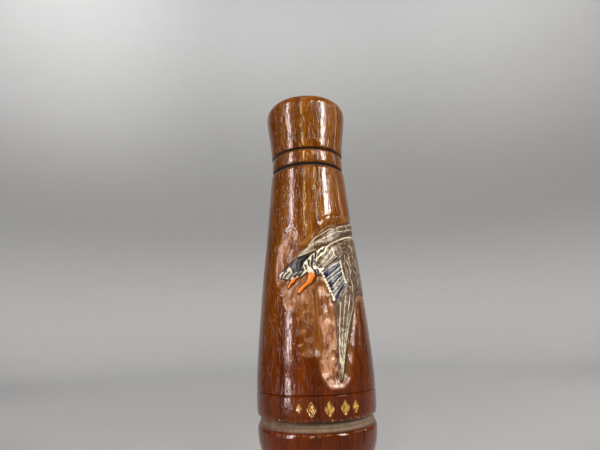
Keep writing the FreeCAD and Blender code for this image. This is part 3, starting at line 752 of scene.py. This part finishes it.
def wood_grain_group():
    """Straight grain along Z: slow bands, fine streaks and short dark pores."""
    group, given, result = new_group(
        "wood_grain",
        [("Dark", "Color", (0.1, 0.03, 0.01, 1)), ("Mid", "Color", (0.2, 0.07, 0.02, 1)),
         ("Light", "Color", (0.4, 0.15, 0.04, 1)), ("Pores", "Float", 0.6)],
        [("Color", "Color"), ("Height", "Float")])
    drift = speckle(group, object_place(group, (1, 1, 0.3)), 60, 2)
    bands = speckle(group, object_place(group, (1, 1, 0.06)), 330, 3, 0.55, 0.5)
    streaks = speckle(group, object_place(group, (1, 1, 0.045)), 1500, 4, 0.65)
    pores = speckle(group, object_place(group, (1, 1, 0.09)), 2700, 2, 0.5)
    colour = layer(group, ramp(group, bands, 0.38, 0.66, 0.0, 0.55), given["Mid"], given["Light"])
    colour = layer(group, ramp(group, bands, 0.30, 0.46, 0.5, 0.0), colour, given["Dark"])
    colour = layer(group, ramp(group, streaks, 0.50, 0.72, 0.0, 0.6), colour, given["Light"])
    colour = layer(group, ramp(group, streaks, 0.28, 0.46, 0.6, 0.0), colour, given["Dark"])
    colour = layer(group, ramp(group, drift, 0.42, 0.66, 0.0, 0.35), colour, given["Dark"])
    height = add_node(group, "SeparateXYZ", None, {0: object_place(group)}).outputs[2]
    # darker and redder towards the joint and below it
    low_darkening = ramp(group, height, (JOINT + 4) * MM, (JOINT + 58) * MM, 0.95, 0.0)
    colour = layer(group, low_darkening, colour, rgba((0.50, 0.25, 0.02)), "MULTIPLY")
    pore_share = calc(group, "MULTIPLY", ramp(group, pores, 0.56, 0.66), given["Pores"])
    colour = layer(group, pore_share, colour, given["Dark"])
    group.links.new(colour, result["Color"])
    relief = calc(group, "MULTIPLY", pore_share, -0.020)
    relief = calc(group, "MULTIPLY_ADD", streaks, 0.004, relief)
    group.links.new(relief, result["Height"])
    return group


def varnish_group():
    """Brushed varnish over open grain: waves, short upright cracks and wrinkles, in mm."""
    group, given, result = new_group(
        "varnish_waves", [("Waves", "Float", 1.0), ("Wrinkles", "Float", 1.0)], [("Height", "Float")])
    runs = speckle(group, object_place(group, (1, 1, 0.22)), 620, 3, 0.55, 0.3)
    cracks = speckle(group, object_place(group, (1, 1, 0.17)), 1500, 2, 0.5, 0.3)
    wrinkles = speckle(group, object_place(group, (1, 1, 0.7)), 1500, 2, 0.55, 0.5)
    patches = ramp(group, speckle(group, object_place(group), 200, 2), 0.35, 0.65, 0.5, 1.0)
    height = calc(group, "MULTIPLY", runs, calc(group, "MULTIPLY", given["Waves"], 0.055))
    fine = calc(group, "MULTIPLY", patches, given["Wrinkles"])
    height = calc(group, "MULTIPLY_ADD", wrinkles, calc(group, "MULTIPLY", fine, 0.032), height)
    sunk = ramp(group, cracks, 0.35, 0.43, -0.060, 0.0)
    height = calc(group, "MULTIPLY_ADD", sunk, fine, height)
    group.links.new(height, result["Height"])
    return group


def stroke_group():
    """A painted line: full where the signed distance is small and the line is near."""
    group, given, result = new_group(
        "painted_line",
        [("Near", "Float", 5.0), ("Side", "Float", 5.0), ("Half Width", "Float", 0.15)],
        [("Share", "Float")])
    wobble = speckle(group, object_place(group), 650, 3, 0.6)
    reach = calc(group, "MULTIPLY_ADD", wobble, 0.30, given["Half Width"])
    reach = calc(group, "SUBTRACT", reach, 0.15)
    inner = calc(group, "SUBTRACT", reach, calc(group, "ABSOLUTE", given["Side"]))
    outer = calc(group, "SUBTRACT", calc(group, "ADD", reach, 0.22), given["Near"])
    share = calc(group, "MULTIPLY", ramp(group, inner, -0.03, 0.05), ramp(group, outer, -0.03, 0.03))
    group.links.new(share, result["Share"])
    return group


def paint_edge_group():
    """Share of paint from the depth inside an outline, with a brushed edge."""
    group, given, result = new_group(
        "paint_edge", [("Depth", "Float", -5.0), ("Grow", "Float", 0.0)], [("Share", "Float")])
    wobble = speckle(group, object_place(group), 1100, 2)
    depth = calc(group, "MULTIPLY_ADD", wobble, 0.22, given["Depth"])
    depth = calc(group, "ADD", depth, calc(group, "SUBTRACT", given["Grow"], 0.11))
    group.links.new(ramp(group, depth, -0.04, 0.05), result["Share"])
    return group


# ---------------------------------------------------------------- materials

def char_share(tree, rises, half_widths):
    """Where a hot wire has burnt the rings: a share from the height above the joint."""
    height = add_node(tree, "SeparateXYZ", None, {0: object_place(tree)}).outputs[2]
    wobble = speckle(tree, object_place(tree), 300, 2)
    height = calc(tree, "MULTIPLY_ADD", wobble, 0.30 * MM, height)
    total = None
    for rise, half_width in zip(rises, half_widths):
        middle = (JOINT + rise + 0.15) * MM
        gap = calc(tree, "ABSOLUTE", calc(tree, "SUBTRACT", height, middle))
        share = ramp(tree, gap, (half_width - 0.05) * MM, (half_width + 0.10) * MM, 1.0, 0.0)
        total = share if total is None else calc(tree, "MAXIMUM", total, share)
    return total


def barrel_material(colours, groups):
    """Varnished wood with the carved ground, the painted duck, gold marks and burnt rings."""
    material, tree, shader = new_material(
        "carved_barrel", Specular_IOR_Level=0.43)
    wood = use_group(tree, groups["grain"], {
        "Dark": rgba(colours.wood_dark), "Mid": rgba(colours.wood_mid),
        "Light": rgba(colours.wood_light), "Pores": 0.85})
    varnish = use_group(tree, groups["varnish"], {"Waves": 1.0, "Wrinkles": 1.0})

    def painted(name, grow=0.0):
        return use_group(tree, groups["edge"], {"Depth": stored(tree, name), "Grow": grow})["Share"]

    def stroked(name, half_width):
        return use_group(tree, groups["stroke"], {
            "Near": stored(tree, name + "_near"), "Side": stored(tree, name + "_side"),
            "Half Width": half_width})["Share"]

    ground = stored(tree, "carving")
    gouge = stored(tree, "gouge")
    bird = painted("bird")
    fibres = speckle(tree, object_place(tree, (1, 1, 0.12)), 1500, 4, 0.65)
    bare = layer(tree, ramp(tree, fibres, 0.38, 0.62), wood["Color"], rgba(colours.carved))
    bare = layer(tree, ramp(tree, gouge, 0.0, 0.75, 0.30, 0.0), bare, rgba(colours.wood_dark))
    colour = layer(tree, calc(tree, "MULTIPLY", ground, 0.42), wood["Color"], bare)
    patches = speckle(tree, object_place(tree, (1, 1, 0.6)), 650, 3, 0.65)
    # painted sheen on the cut walls and flat cuts, broken into patches
    wall_sheen = calc(tree, "MULTIPLY", stored(tree, "cut_sheen_share"), ramp(tree, patches, 0.40, 0.58, 0.10, 0.95))
    colour = layer(tree, wall_sheen, colour, rgba(colours.cut_sheen))

    # a painted shade line where the ground meets the duck, then brown feathers with barbs
    depth = stored(tree, "bird")
    crevice_shade = calc(tree, "MULTIPLY", ramp(tree, depth, -0.55, -0.12),
                   ramp(tree, depth, -0.08, 0.06, 0.75, 0.0))
    colour = layer(tree, crevice_shade, colour, rgba(colours.wood_dark))
    height = add_node(tree, "SeparateXYZ", None, {0: object_place(tree)}).outputs[2]
    across = calc(tree, "MULTIPLY", stored(tree, "feather"), 16.0)
    across = add_node(tree, "Mix", {"data_type": "FLOAT"}, {
        0: stored(tree, "primaries"), 2: calc(tree, "MULTIPLY", stored(tree, "thick_side"), 1.6),
        3: across}).outputs[0]
    run = calc(tree, "MULTIPLY", height, 260.0)
    barb_place = add_node(tree, "CombineXYZ", None, {0: across, 1: run}).outputs[0]
    barbs = speckle(tree, barb_place, 2.2, 3, 0.6, 0.2)
    plumage = layer(tree, ramp(tree, barbs, 0.36, 0.62), rgba(colours.plumage_dark), rgba(colours.plumage))
    shoulder = calc(tree, "MULTIPLY_ADD", stored(tree, "primaries"), -0.7, 1.0)
    pale = calc(tree, "MULTIPLY", ramp(tree, barbs, 0.56, 0.68, 0.0, 0.45), shoulder)
    plumage = layer(tree, pale, plumage, rgba(colours.cream))
    flecks = speckle(tree, object_place(tree, (1, 1, 0.5)), 900, 3, 0.6)
    plumage = layer(tree, ramp(tree, flecks, 0.54, 0.68, 0, 0.3), plumage, rgba(colours.cream))
    colour = layer(tree, calc(tree, "MULTIPLY", bird, 0.88), colour, plumage)
    colour = layer(tree, painted("breast"), colour, rgba(colours.chestnut))
    smoke = speckle(tree, object_place(tree, (1, 1, 0.5)), 900, 3)
    grey = layer(tree, ramp(tree, smoke, 0.35, 0.7), rgba(colours.black), rgba(colours.grey))
    colour = layer(tree, painted("tail"), colour, grey)
    for part, tint in (("rump", colours.black), ("speculum", colours.navy), ("head", colours.green),
                       ("bill", colours.yellow), ("white", colours.white)):
        colour = layer(tree, painted(part), colour, rgba(tint))
    bars = calc(tree, "MULTIPLY", stroked("bar", 0.29), painted("white", 0.1))
    colour = layer(tree, bars, colour, rgba(colours.black))
    streaks = calc(tree, "MULTIPLY", stroked("streak", 0.085), painted("speculum", -0.1))
    colour = layer(tree, streaks, colour, rgba(colours.white))
    colour = layer(tree, painted("dots"), colour, rgba(colours.white))
    colour = layer(tree, calc(tree, "MULTIPLY", stroked("cream", 0.10), 0.85), colour, rgba(colours.cream))
    colour = layer(tree, stroked("thick", 0.21), colour, rgba(colours.cream))
    orange = layer(tree, ramp(tree, smoke, 0.5, 0.75, 0, 0.5), rgba(colours.orange), rgba(colours.chestnut))
    colour = layer(tree, painted("feet"), colour, orange)
    colour = layer(tree, painted("eye"), colour, rgba(colours.black))
    # partly uneven gilding, partly painted glints and shade: the marks' gold runs at random from dark brown
    # to bright
    patchy_gilt_and_glints = speckle(tree, object_place(tree, (1, 1, 0.6)), 1900, 3, 0.6)
    dark_gilt_and_shade = tuple(0.22 * part for part in colours.gold)
    gilt = layer(tree, ramp(tree, patchy_gilt_and_glints, 0.38, 0.60), rgba(dark_gilt_and_shade), rgba(colours.gold))
    specks = calc(tree, "MULTIPLY", ramp(tree, speckle(tree, object_place(tree), 2100, 1), 0.66, 0.70),
                  ramp(tree, height, (JOINT + 0.7) * MM, (JOINT + 1.2) * MM, 1.0, 0.0))
    colour = layer(tree, calc(tree, "MAXIMUM", painted("gold"), specks), colour, gilt)
    char = char_share(tree, (67.0, 71.75), (0.48, 0.24))
    colour = layer(tree, char, colour, rgba(colours.char))
    tree.links.new(colour, shader.inputs["Base Color"])

    bare_ground = calc(tree, "SUBTRACT", ground, bird)
    rough = ramp(tree, bare_ground, 0, 1, 0.055, 0.16)
    rough = calc(tree, "MULTIPLY_ADD", bird, 0.07, rough)
    rough = calc(tree, "MULTIPLY_ADD", char, 0.70, rough)
    tree.links.new(rough, shader.inputs["Roughness"])
    relief = calc(tree, "ADD", wood["Height"], varnish["Height"])
    relief = calc(tree, "MULTIPLY_ADD", calc(tree, "MULTIPLY", bird, barbs), 0.09, relief)
    relief = calc(tree, "MULTIPLY_ADD", calc(tree, "MULTIPLY", ground, fibres), 0.09, relief)
    set_bump(tree, shader, relief)
    return material


def stopper_material(colours, groups):
    """Varnished wood with burnt rings, and dust in the groove at the joint."""
    material, tree, shader = new_material(
        "turned_stopper", Specular_IOR_Level=0.43)
    wood = use_group(tree, groups["grain"], {
        "Dark": rgba(colours.wood_dark), "Mid": rgba(colours.wood_mid),
        "Light": rgba(colours.wood_light), "Pores": 0.7})
    varnish = use_group(tree, groups["varnish"], {"Waves": 1.0, "Wrinkles": 0.8})
    height = add_node(tree, "SeparateXYZ", None, {0: object_place(tree)}).outputs[2]
    flank = ramp(tree, height, (JOINT - 2.25) * MM, (JOINT - 1.9) * MM)
    patchy = speckle(tree, object_place(tree, (1, 1, 0.6)), 700, 4, 0.6)
    dust = calc(tree, "MULTIPLY", flank, ramp(tree, patchy, 0.3, 0.6, 0.45, 1.0))
    bare = ramp(tree, height, (JOINT + 0.02) * MM, (JOINT + 0.06) * MM)
    colour = layer(tree, calc(tree, "MULTIPLY", bare, 0.5), wood["Color"], rgba(colours.carved))
    colour = layer(tree, calc(tree, "MULTIPLY", dust, calc(tree, "SUBTRACT", 1.0, bare)), colour,
                   rgba(colours.dust))
    char = char_share(tree, (14.5 - JOINT, 18.6 - JOINT), (0.26, 0.26))
    colour = layer(tree, char, colour, rgba(colours.char))
    tree.links.new(colour, shader.inputs["Base Color"])
    matt = calc(tree, "MAXIMUM", calc(tree, "MAXIMUM", char, bare), dust)
    tree.links.new(ramp(tree, matt, 0, 1, 0.055, 0.85), shader.inputs["Roughness"])
    total = calc(tree, "ADD", wood["Height"], varnish["Height"])
    set_bump(tree, shader, calc(tree, "MULTIPLY_ADD", patchy, calc(tree, "MULTIPLY", dust, 0.06), total))
    return material


def tone_board_material(colours, groups):
    """Bare cedar-like wood."""
    material, tree, shader = new_material("tone_board_wood", Roughness=0.62)
    light = tuple(min(1.0, 1.9 * part) for part in colours.wood_light)
    wood = use_group(tree, groups["grain"], {
        "Dark": rgba(colours.wood_mid), "Mid": rgba(colours.wood_light), "Light": rgba(light),
        "Pores": 0.35})
    tree.links.new(wood["Color"], shader.inputs["Base Color"])
    set_bump(tree, shader, wood["Height"])
    return material


def cork_material(colours):
    """Cork: pale grains with dark seams and pits."""
    material, tree, shader = new_material("wedge_cork", Roughness=0.85)
    place = object_place(tree)
    grains = add_node(tree, "TexVoronoi", {"feature": "DISTANCE_TO_EDGE"},
                      {"Vector": place, "Scale": 900.0})
    seams = ramp(tree, grains.outputs["Distance"], 0.0, 0.12)
    pits = ramp(tree, speckle(tree, place, 1500, 3, 0.6), 0.60, 0.70)
    dark = tuple(0.35 * part for part in colours.cork)
    colour = layer(tree, seams, rgba(dark), rgba(colours.cork))
    colour = layer(tree, ramp(tree, speckle(tree, place, 400, 2), 0.4, 0.7, 0, 0.4), colour, rgba(dark))
    colour = layer(tree, pits, colour, rgba(dark))
    tree.links.new(colour, shader.inputs["Base Color"])
    set_bump(tree, shader, calc(tree, "MULTIPLY", calc(tree, "SUBTRACT", seams, pits), 0.08))
    return material


def rubber_material(colours):
    """Black rubber with a faint bloom."""
    material, tree, shader = new_material("seal_rubber", IOR=1.5)
    bloom = speckle(tree, object_place(tree), 600, 3, 0.6)
    tree.links.new(layer(tree, ramp(tree, bloom, 0.5, 0.8, 0, 0.5), rgba(colours.rubber),
                         rgba(tuple(4 * part for part in colours.rubber))), shader.inputs["Base Color"])
    tree.links.new(ramp(tree, bloom, 0.3, 0.7, 0.38, 0.55), shader.inputs["Roughness"])
    set_bump(tree, shader, calc(tree, "MULTIPLY", bloom, 0.01))
    return material


def film_material(colours):
    """Milky plastic film with fine scratches along it."""
    material, tree, shader = new_material("reed_film", IOR=1.57, Coat_Weight=0.3, Coat_Roughness=0.15)
    scratches = speckle(tree, object_place(tree, (1, 1, 0.04)), 2500, 2, 0.5)
    cloud = speckle(tree, object_place(tree), 260, 2)
    dull = tuple(0.82 * part for part in colours.film)
    tree.links.new(layer(tree, cloud, rgba(dull), rgba(colours.film)), shader.inputs["Base Color"])
    tree.links.new(ramp(tree, scratches, 0.35, 0.7, 0.22, 0.40), shader.inputs["Roughness"])
    set_bump(tree, shader, calc(tree, "MULTIPLY", scratches, 0.006))
    return material


def backdrop_material(colours):
    """Pale matt paper, graded with painted light and shade from the floor up the backdrop."""
    material, tree, shader = new_material("backdrop_paper", Roughness=0.9)
    place = object_place(tree)
    fibre = speckle(tree, place, 30, 3)
    parts = add_node(tree, "SeparateXYZ", None, {0: place}).outputs
    reach = add_node(tree, "VectorMath", {"operation": "LENGTH"}, {0: place}).outputs["Value"]
    # painted light and shade: darker near the call and at mid height on the backdrop, brighter far out and
    # high up
    tone = ramp(tree, reach, 0.15, 0.80, 0.64, 0.86)
    tone = calc(tree, "MULTIPLY", tone, ramp(tree, parts[2], 0.05, 0.42, 1.0, 0.64))
    tone = calc(tree, "MULTIPLY", tone, ramp(tree, parts[2], 0.45, 1.30, 1.0, 2.10))
    # painted light: brighter towards both sides, higher up
    side_light = calc(tree, "ADD", ramp(tree, parts[0], -0.75, -0.25, 0.40, 0.0),
                 ramp(tree, parts[0], 0.25, 0.80, 0.0, 0.25))
    side_light = calc(tree, "MULTIPLY", side_light, ramp(tree, parts[2], 0.35, 0.75))
    tone = calc(tree, "MULTIPLY_ADD", tone, side_light, tone)
    # painted shade: darker in front of the call and to its sides, far out, less so up high
    aside = calc(tree, "MULTIPLY_ADD", calc(tree, "ABSOLUTE", parts[0]), -0.6, parts[1])
    low_shade = ramp(tree, parts[2], 0.80, 1.15, 0.24, 0.90)
    shade = ramp(tree, aside, -0.15, 0.42, low_shade, 1.0)
    near_aside = calc(tree, "MULTIPLY_ADD", calc(tree, "ABSOLUTE", parts[0]), -0.9, parts[1])
    far = ramp(tree, reach, 0.40, 0.80)
    shade = calc(tree, "MULTIPLY_ADD", far, calc(tree, "SUBTRACT", shade, 1.0), 1.0)
    tone = calc(tree, "MULTIPLY", tone, shade)
    # painted shade on the floor just in front of the call
    tone = calc(tree, "MULTIPLY", tone, ramp(tree, near_aside, -0.20, -0.03, 0.25, 1.0))
    tone = calc(tree, "MULTIPLY", tone, ramp(tree, fibre, 0.3, 0.7, 0.985, 1.0))
    colour = layer(tree, tone, rgba((0.0, 0.0, 0.0)), rgba(colours.backdrop))
    tree.links.new(colour, shader.inputs["Base Color"])
    return material


# ---------------------------------------------------------------- operators

def build_groups():
    """The node groups, built once and kept by name."""
    makers = {"wood_grain": wood_grain_group, "varnish_waves": varnish_group,
              "painted_line": stroke_group, "paint_edge": paint_edge_group}
    made = {name: bpy.data.node_groups.get(name) or maker() for name, maker in makers.items()}
    return {"grain": made["wood_grain"], "varnish": made["varnish_waves"],
            "stroke": made["painted_line"], "edge": made["paint_edge"]}


class DUCKCALL_OT_turn_barrel(bpy.types.Operator):
    """Turn the barrel, carve the duck and the band into it, and paint and varnish it"""
    bl_idname = "duckcall.turn_barrel"
    bl_label = "Barrel"

    def execute(self, context):
        sizes = context.scene.duck_call_sizes
        piece = turn("carved_barrel", barrel_outline(sizes.carved_row), sizes.barrel_steps)
        carve_duck(piece, sizes)
        smooth(piece)
        material = barrel_material(context.scene.duck_call_colours, build_groups())
        finish_piece(piece, "barrel_body", "barrel", material)
        return {"FINISHED"}


class DUCKCALL_OT_turn_stopper(bpy.types.Operator):
    """Turn the stopper with its tenon, socket and bell"""
    bl_idname = "duckcall.turn_stopper"
    bl_label = "Stopper"

    def execute(self, context):
        piece = turn("turned_stopper", stopper_outline(), context.scene.duck_call_sizes.stopper_steps)
        smooth(piece)
        material = stopper_material(context.scene.duck_call_colours, build_groups())
        finish_piece(piece, "stopper_body", "stopper", material)
        return {"FINISHED"}


class DUCKCALL_OT_cut_reeds(bpy.types.Operator):
    """Cut both reeds from film with rounded tips, where the wedge clamps them"""
    bl_idname = "duckcall.cut_reeds"
    bl_label = "Reeds"

    def execute(self, context):
        material = film_material(context.scene.duck_call_colours)
        for node in ("long_reed", "short_reed"):
            low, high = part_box(node)
            deselect_all()
            bpy.ops.mesh.primitive_plane_add(size=1, location=(0, 0, 0))
            piece = context.object
            piece.name = node + "_film"
            bpy.ops.object.mode_set(mode="EDIT")
            bpy.ops.mesh.subdivide(number_cuts=39)
            bpy.ops.object.mode_set(mode="OBJECT")
            width = high.x - low.x
            tip_curve = 0.25 * width
            for vertex in piece.data.vertices:
                across, along = vertex.co.x * 2, vertex.co.y + 0.5
                bow = tip_curve * across * across * along ** 6
                vertex.co = (across * width / 2, high.y, low.z + along * (high.z - low.z) - bow)
            solid = piece.modifiers.new("Thickness", "SOLIDIFY")
            solid.thickness = high.y - low.y
            solid.offset = -1.0
            edge = piece.modifiers.new("Edge", "BEVEL")
            edge.width = 0.04 * MM
            edge.segments = 2
            for name in ("Thickness", "Edge"):
                bpy.ops.object.modifier_apply(modifier=name)
            smooth(piece)
            finish_piece(piece, None, node, material)
            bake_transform(piece)
        return {"FINISHED"}


class DUCKCALL_OT_finish_inner_parts(bpy.types.Operator):
    """Give the tone board, the cork wedge and the rubber rings their materials"""
    bl_idname = "duckcall.finish_inner_parts"
    bl_label = "Inner parts"

    def execute(self, context):
        colours = context.scene.duck_call_colours
        finishes = {"tone_board": tone_board_material(colours, build_groups()),
                    "reed_wedge": cork_material(colours)}
        rubber = rubber_material(colours)
        finishes["tenon_seal_front"] = rubber
        finishes["tenon_seal_rear"] = rubber
        for node, material in finishes.items():
            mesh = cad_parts[node].data
            mesh.materials.clear()
            mesh.materials.append(material)
        return {"FINISHED"}


class DUCKCALL_OT_set_stage(bpy.types.Operator):
    """Lay the floor and backdrop, and place the lights and the camera"""
    bl_idname = "duckcall.set_stage"
    bl_label = "Stage"

    def execute(self, context):
        self.lay_sweep(context)
        self.hang_lights(context)
        self.place_camera(context)
        context.scene.view_settings.view_transform = "Standard"
        return {"FINISHED"}

    def lay_sweep(self, context):
        """A floor that curves up into a backdrop, all round the call."""
        profile = [(0.0, 0.0), (0.7, 0.0)]
        profile += [(0.7 + 0.5 * sin(a), 0.5 - 0.5 * cos(a)) for a in np.linspace(0.1, pi / 2, 10)]
        profile += [(1.2, 2.2)]
        deselect_all()
        bpy.ops.mesh.primitive_plane_add(size=MM, location=(0, 0, 0))
        sweep = context.object
        sweep.name = "floor"
        bpy.ops.object.mode_set(mode="EDIT")
        bpy.ops.mesh.merge(type="CENTER")
        last = Vector((0, 0, 0))
        for reach, height in profile[1:]:
            place = Vector((reach, 0, height))
            bpy.ops.mesh.extrude_region_move(TRANSFORM_OT_translate={"value": place - last})
            last = place
        bpy.ops.mesh.select_all(action="SELECT")
        bpy.ops.mesh.spin(steps=96, angle=2 * pi, center=(0, 0, 0), axis=(0, 0, 1))
        bpy.ops.mesh.select_all(action="SELECT")
        bpy.ops.mesh.remove_doubles(threshold=0.01 * MM)
        bpy.ops.mesh.normals_make_consistent(inside=True)
        bpy.ops.object.mode_set(mode="OBJECT")
        smooth(sweep, 60)
        sweep.data.materials.append(backdrop_material(context.scene.duck_call_colours))

    def hang_lights(self, context):
        """Tall soft boxes whose reflections run down the turned wood."""
        world = bpy.data.worlds.new("studio")
        context.scene.world = world
        world.use_nodes = True
        world.node_tree.nodes["Background"].inputs["Color"].default_value = (0.80, 0.84, 0.90, 1)
        world.node_tree.nodes["Background"].inputs["Strength"].default_value = 0.07
        middle = Vector((0, 0, 0.09))
        wall_spot = Vector((-0.35, 1.2, 1.35))
        rows = [
            # name, azimuth from -Y in degrees, height, distance, width, tall, power, colour
            ("window_left", -53, 0.27, 0.95, 0.16, 1.15, 12.0, (1.0, 0.88, 0.88)),
            ("sill_left", -53, 0.026, 0.28, 0.045, 0.05, 0.13, (1.0, 0.88, 0.88)),
            ("window_right", 51, 0.60, 0.95, 0.20, 0.62, 14.5, (1.0, 0.94, 0.88)),
            ("strip_right", 100, 0.35, 0.95, 0.03, 1.0, 1.0, (1.0, 0.86, 0.86)),
            ("lamp_front", -13, 0.52, 1.0, 0.04, 0.7, 2.3, (1.0, 0.78, 0.36)),
            ("lamp_warm", 20, 0.75, 1.0, 0.03, 0.35, 1.3, (1.0, 0.78, 0.36)),
            ("top_soft", -10, 1.4, 0.5, 0.7, 0.7, 0.6, (1.0, 0.98, 0.94)),
            ("wall_wash", 190, 1.2, 0.15, 0.9, 0.4, 3.2, (0.98, 0.99, 1.0)),
        ]
        for name, azimuth, height, distance, width, tall, power, tint in rows:
            light = bpy.data.lights.new(name, "AREA")
            light.shape = "RECTANGLE"
            light.size = width
            light.size_y = tall
            light.energy = power
            light.color = tint
            lamp = bpy.data.objects.new(name, light)
            context.scene.collection.objects.link(lamp)
            angle = radians(azimuth)
            lamp.location = (distance * sin(angle), -distance * cos(angle), height)
            aim = (wall_spot if name == "wall_wash" else middle) - lamp.location
            lamp.rotation_euler = aim.to_track_quat("-Z", "Y").to_euler()

    def place_camera(self, context):
        """The camera stands in front, a little above the joint, and looks up at the mouthpiece."""
        stage = context.scene.duck_call_stage
        data = bpy.data.cameras.new("camera")
        data.lens = stage.lens
        data.sensor_width = 36.0
        data.clip_start = 0.005
        camera = bpy.data.objects.new("camera", data)
        context.scene.collection.objects.link(camera)
        place = Matrix.Translation(Vector((stage.sideways, -stage.distance, stage.height)) * MM)
        level = Matrix.Rotation(radians(90) + stage.pitch, 4, "X")
        camera.matrix_world = place @ level @ Matrix.Rotation(stage.roll, 4, "Z")
        context.scene.camera = camera


class DUCKCALL_PT_panel(bpy.types.Panel):
    """Lists the call's pieces and sizes in the sidebar"""
    bl_label = "Duck call"
    bl_idname = "DUCKCALL_PT_panel"
    bl_space_type = "VIEW_3D"
    bl_region_type = "UI"
    bl_category = "Duck Call"

    def draw(self, context):
        for operator in OPERATORS:
            self.layout.operator(operator.bl_idname)
        for name in PROPERTY_GROUPS:
            group = getattr(context.scene, name)
            box = self.layout.box()
            for field in group.bl_rna.properties:
                if field.identifier not in {"rna_type", "name"}:
                    box.prop(group, field.identifier)


OPERATORS = [DUCKCALL_OT_turn_barrel, DUCKCALL_OT_turn_stopper, DUCKCALL_OT_cut_reeds,
             DUCKCALL_OT_finish_inner_parts, DUCKCALL_OT_set_stage]
PROPERTY_GROUPS = {"duck_call_sizes": TurningSizes, "duck_call_colours": FinishColours,
                   "duck_call_stage": StageSettings}


def register():
    """Register the classes and hang their settings on the scene."""
    for kind in [*PROPERTY_GROUPS.values(), *OPERATORS, DUCKCALL_PT_panel]:
        bpy.utils.register_class(kind)
    for name, kind in PROPERTY_GROUPS.items():
        setattr(bpy.types.Scene, name, bpy.props.PointerProperty(type=kind))


def unregister():
    """Undo register."""
    for name in PROPERTY_GROUPS:
        delattr(bpy.types.Scene, name)
    for kind in reversed([*PROPERTY_GROUPS.values(), *OPERATORS, DUCKCALL_PT_panel]):
        bpy.utils.unregister_class(kind)


def main():
    register()
    for operator in OPERATORS:
        group, name = operator.bl_idname.split(".")
        getattr(getattr(bpy.ops, group), name)()


if __name__ == "__main__":
    main()
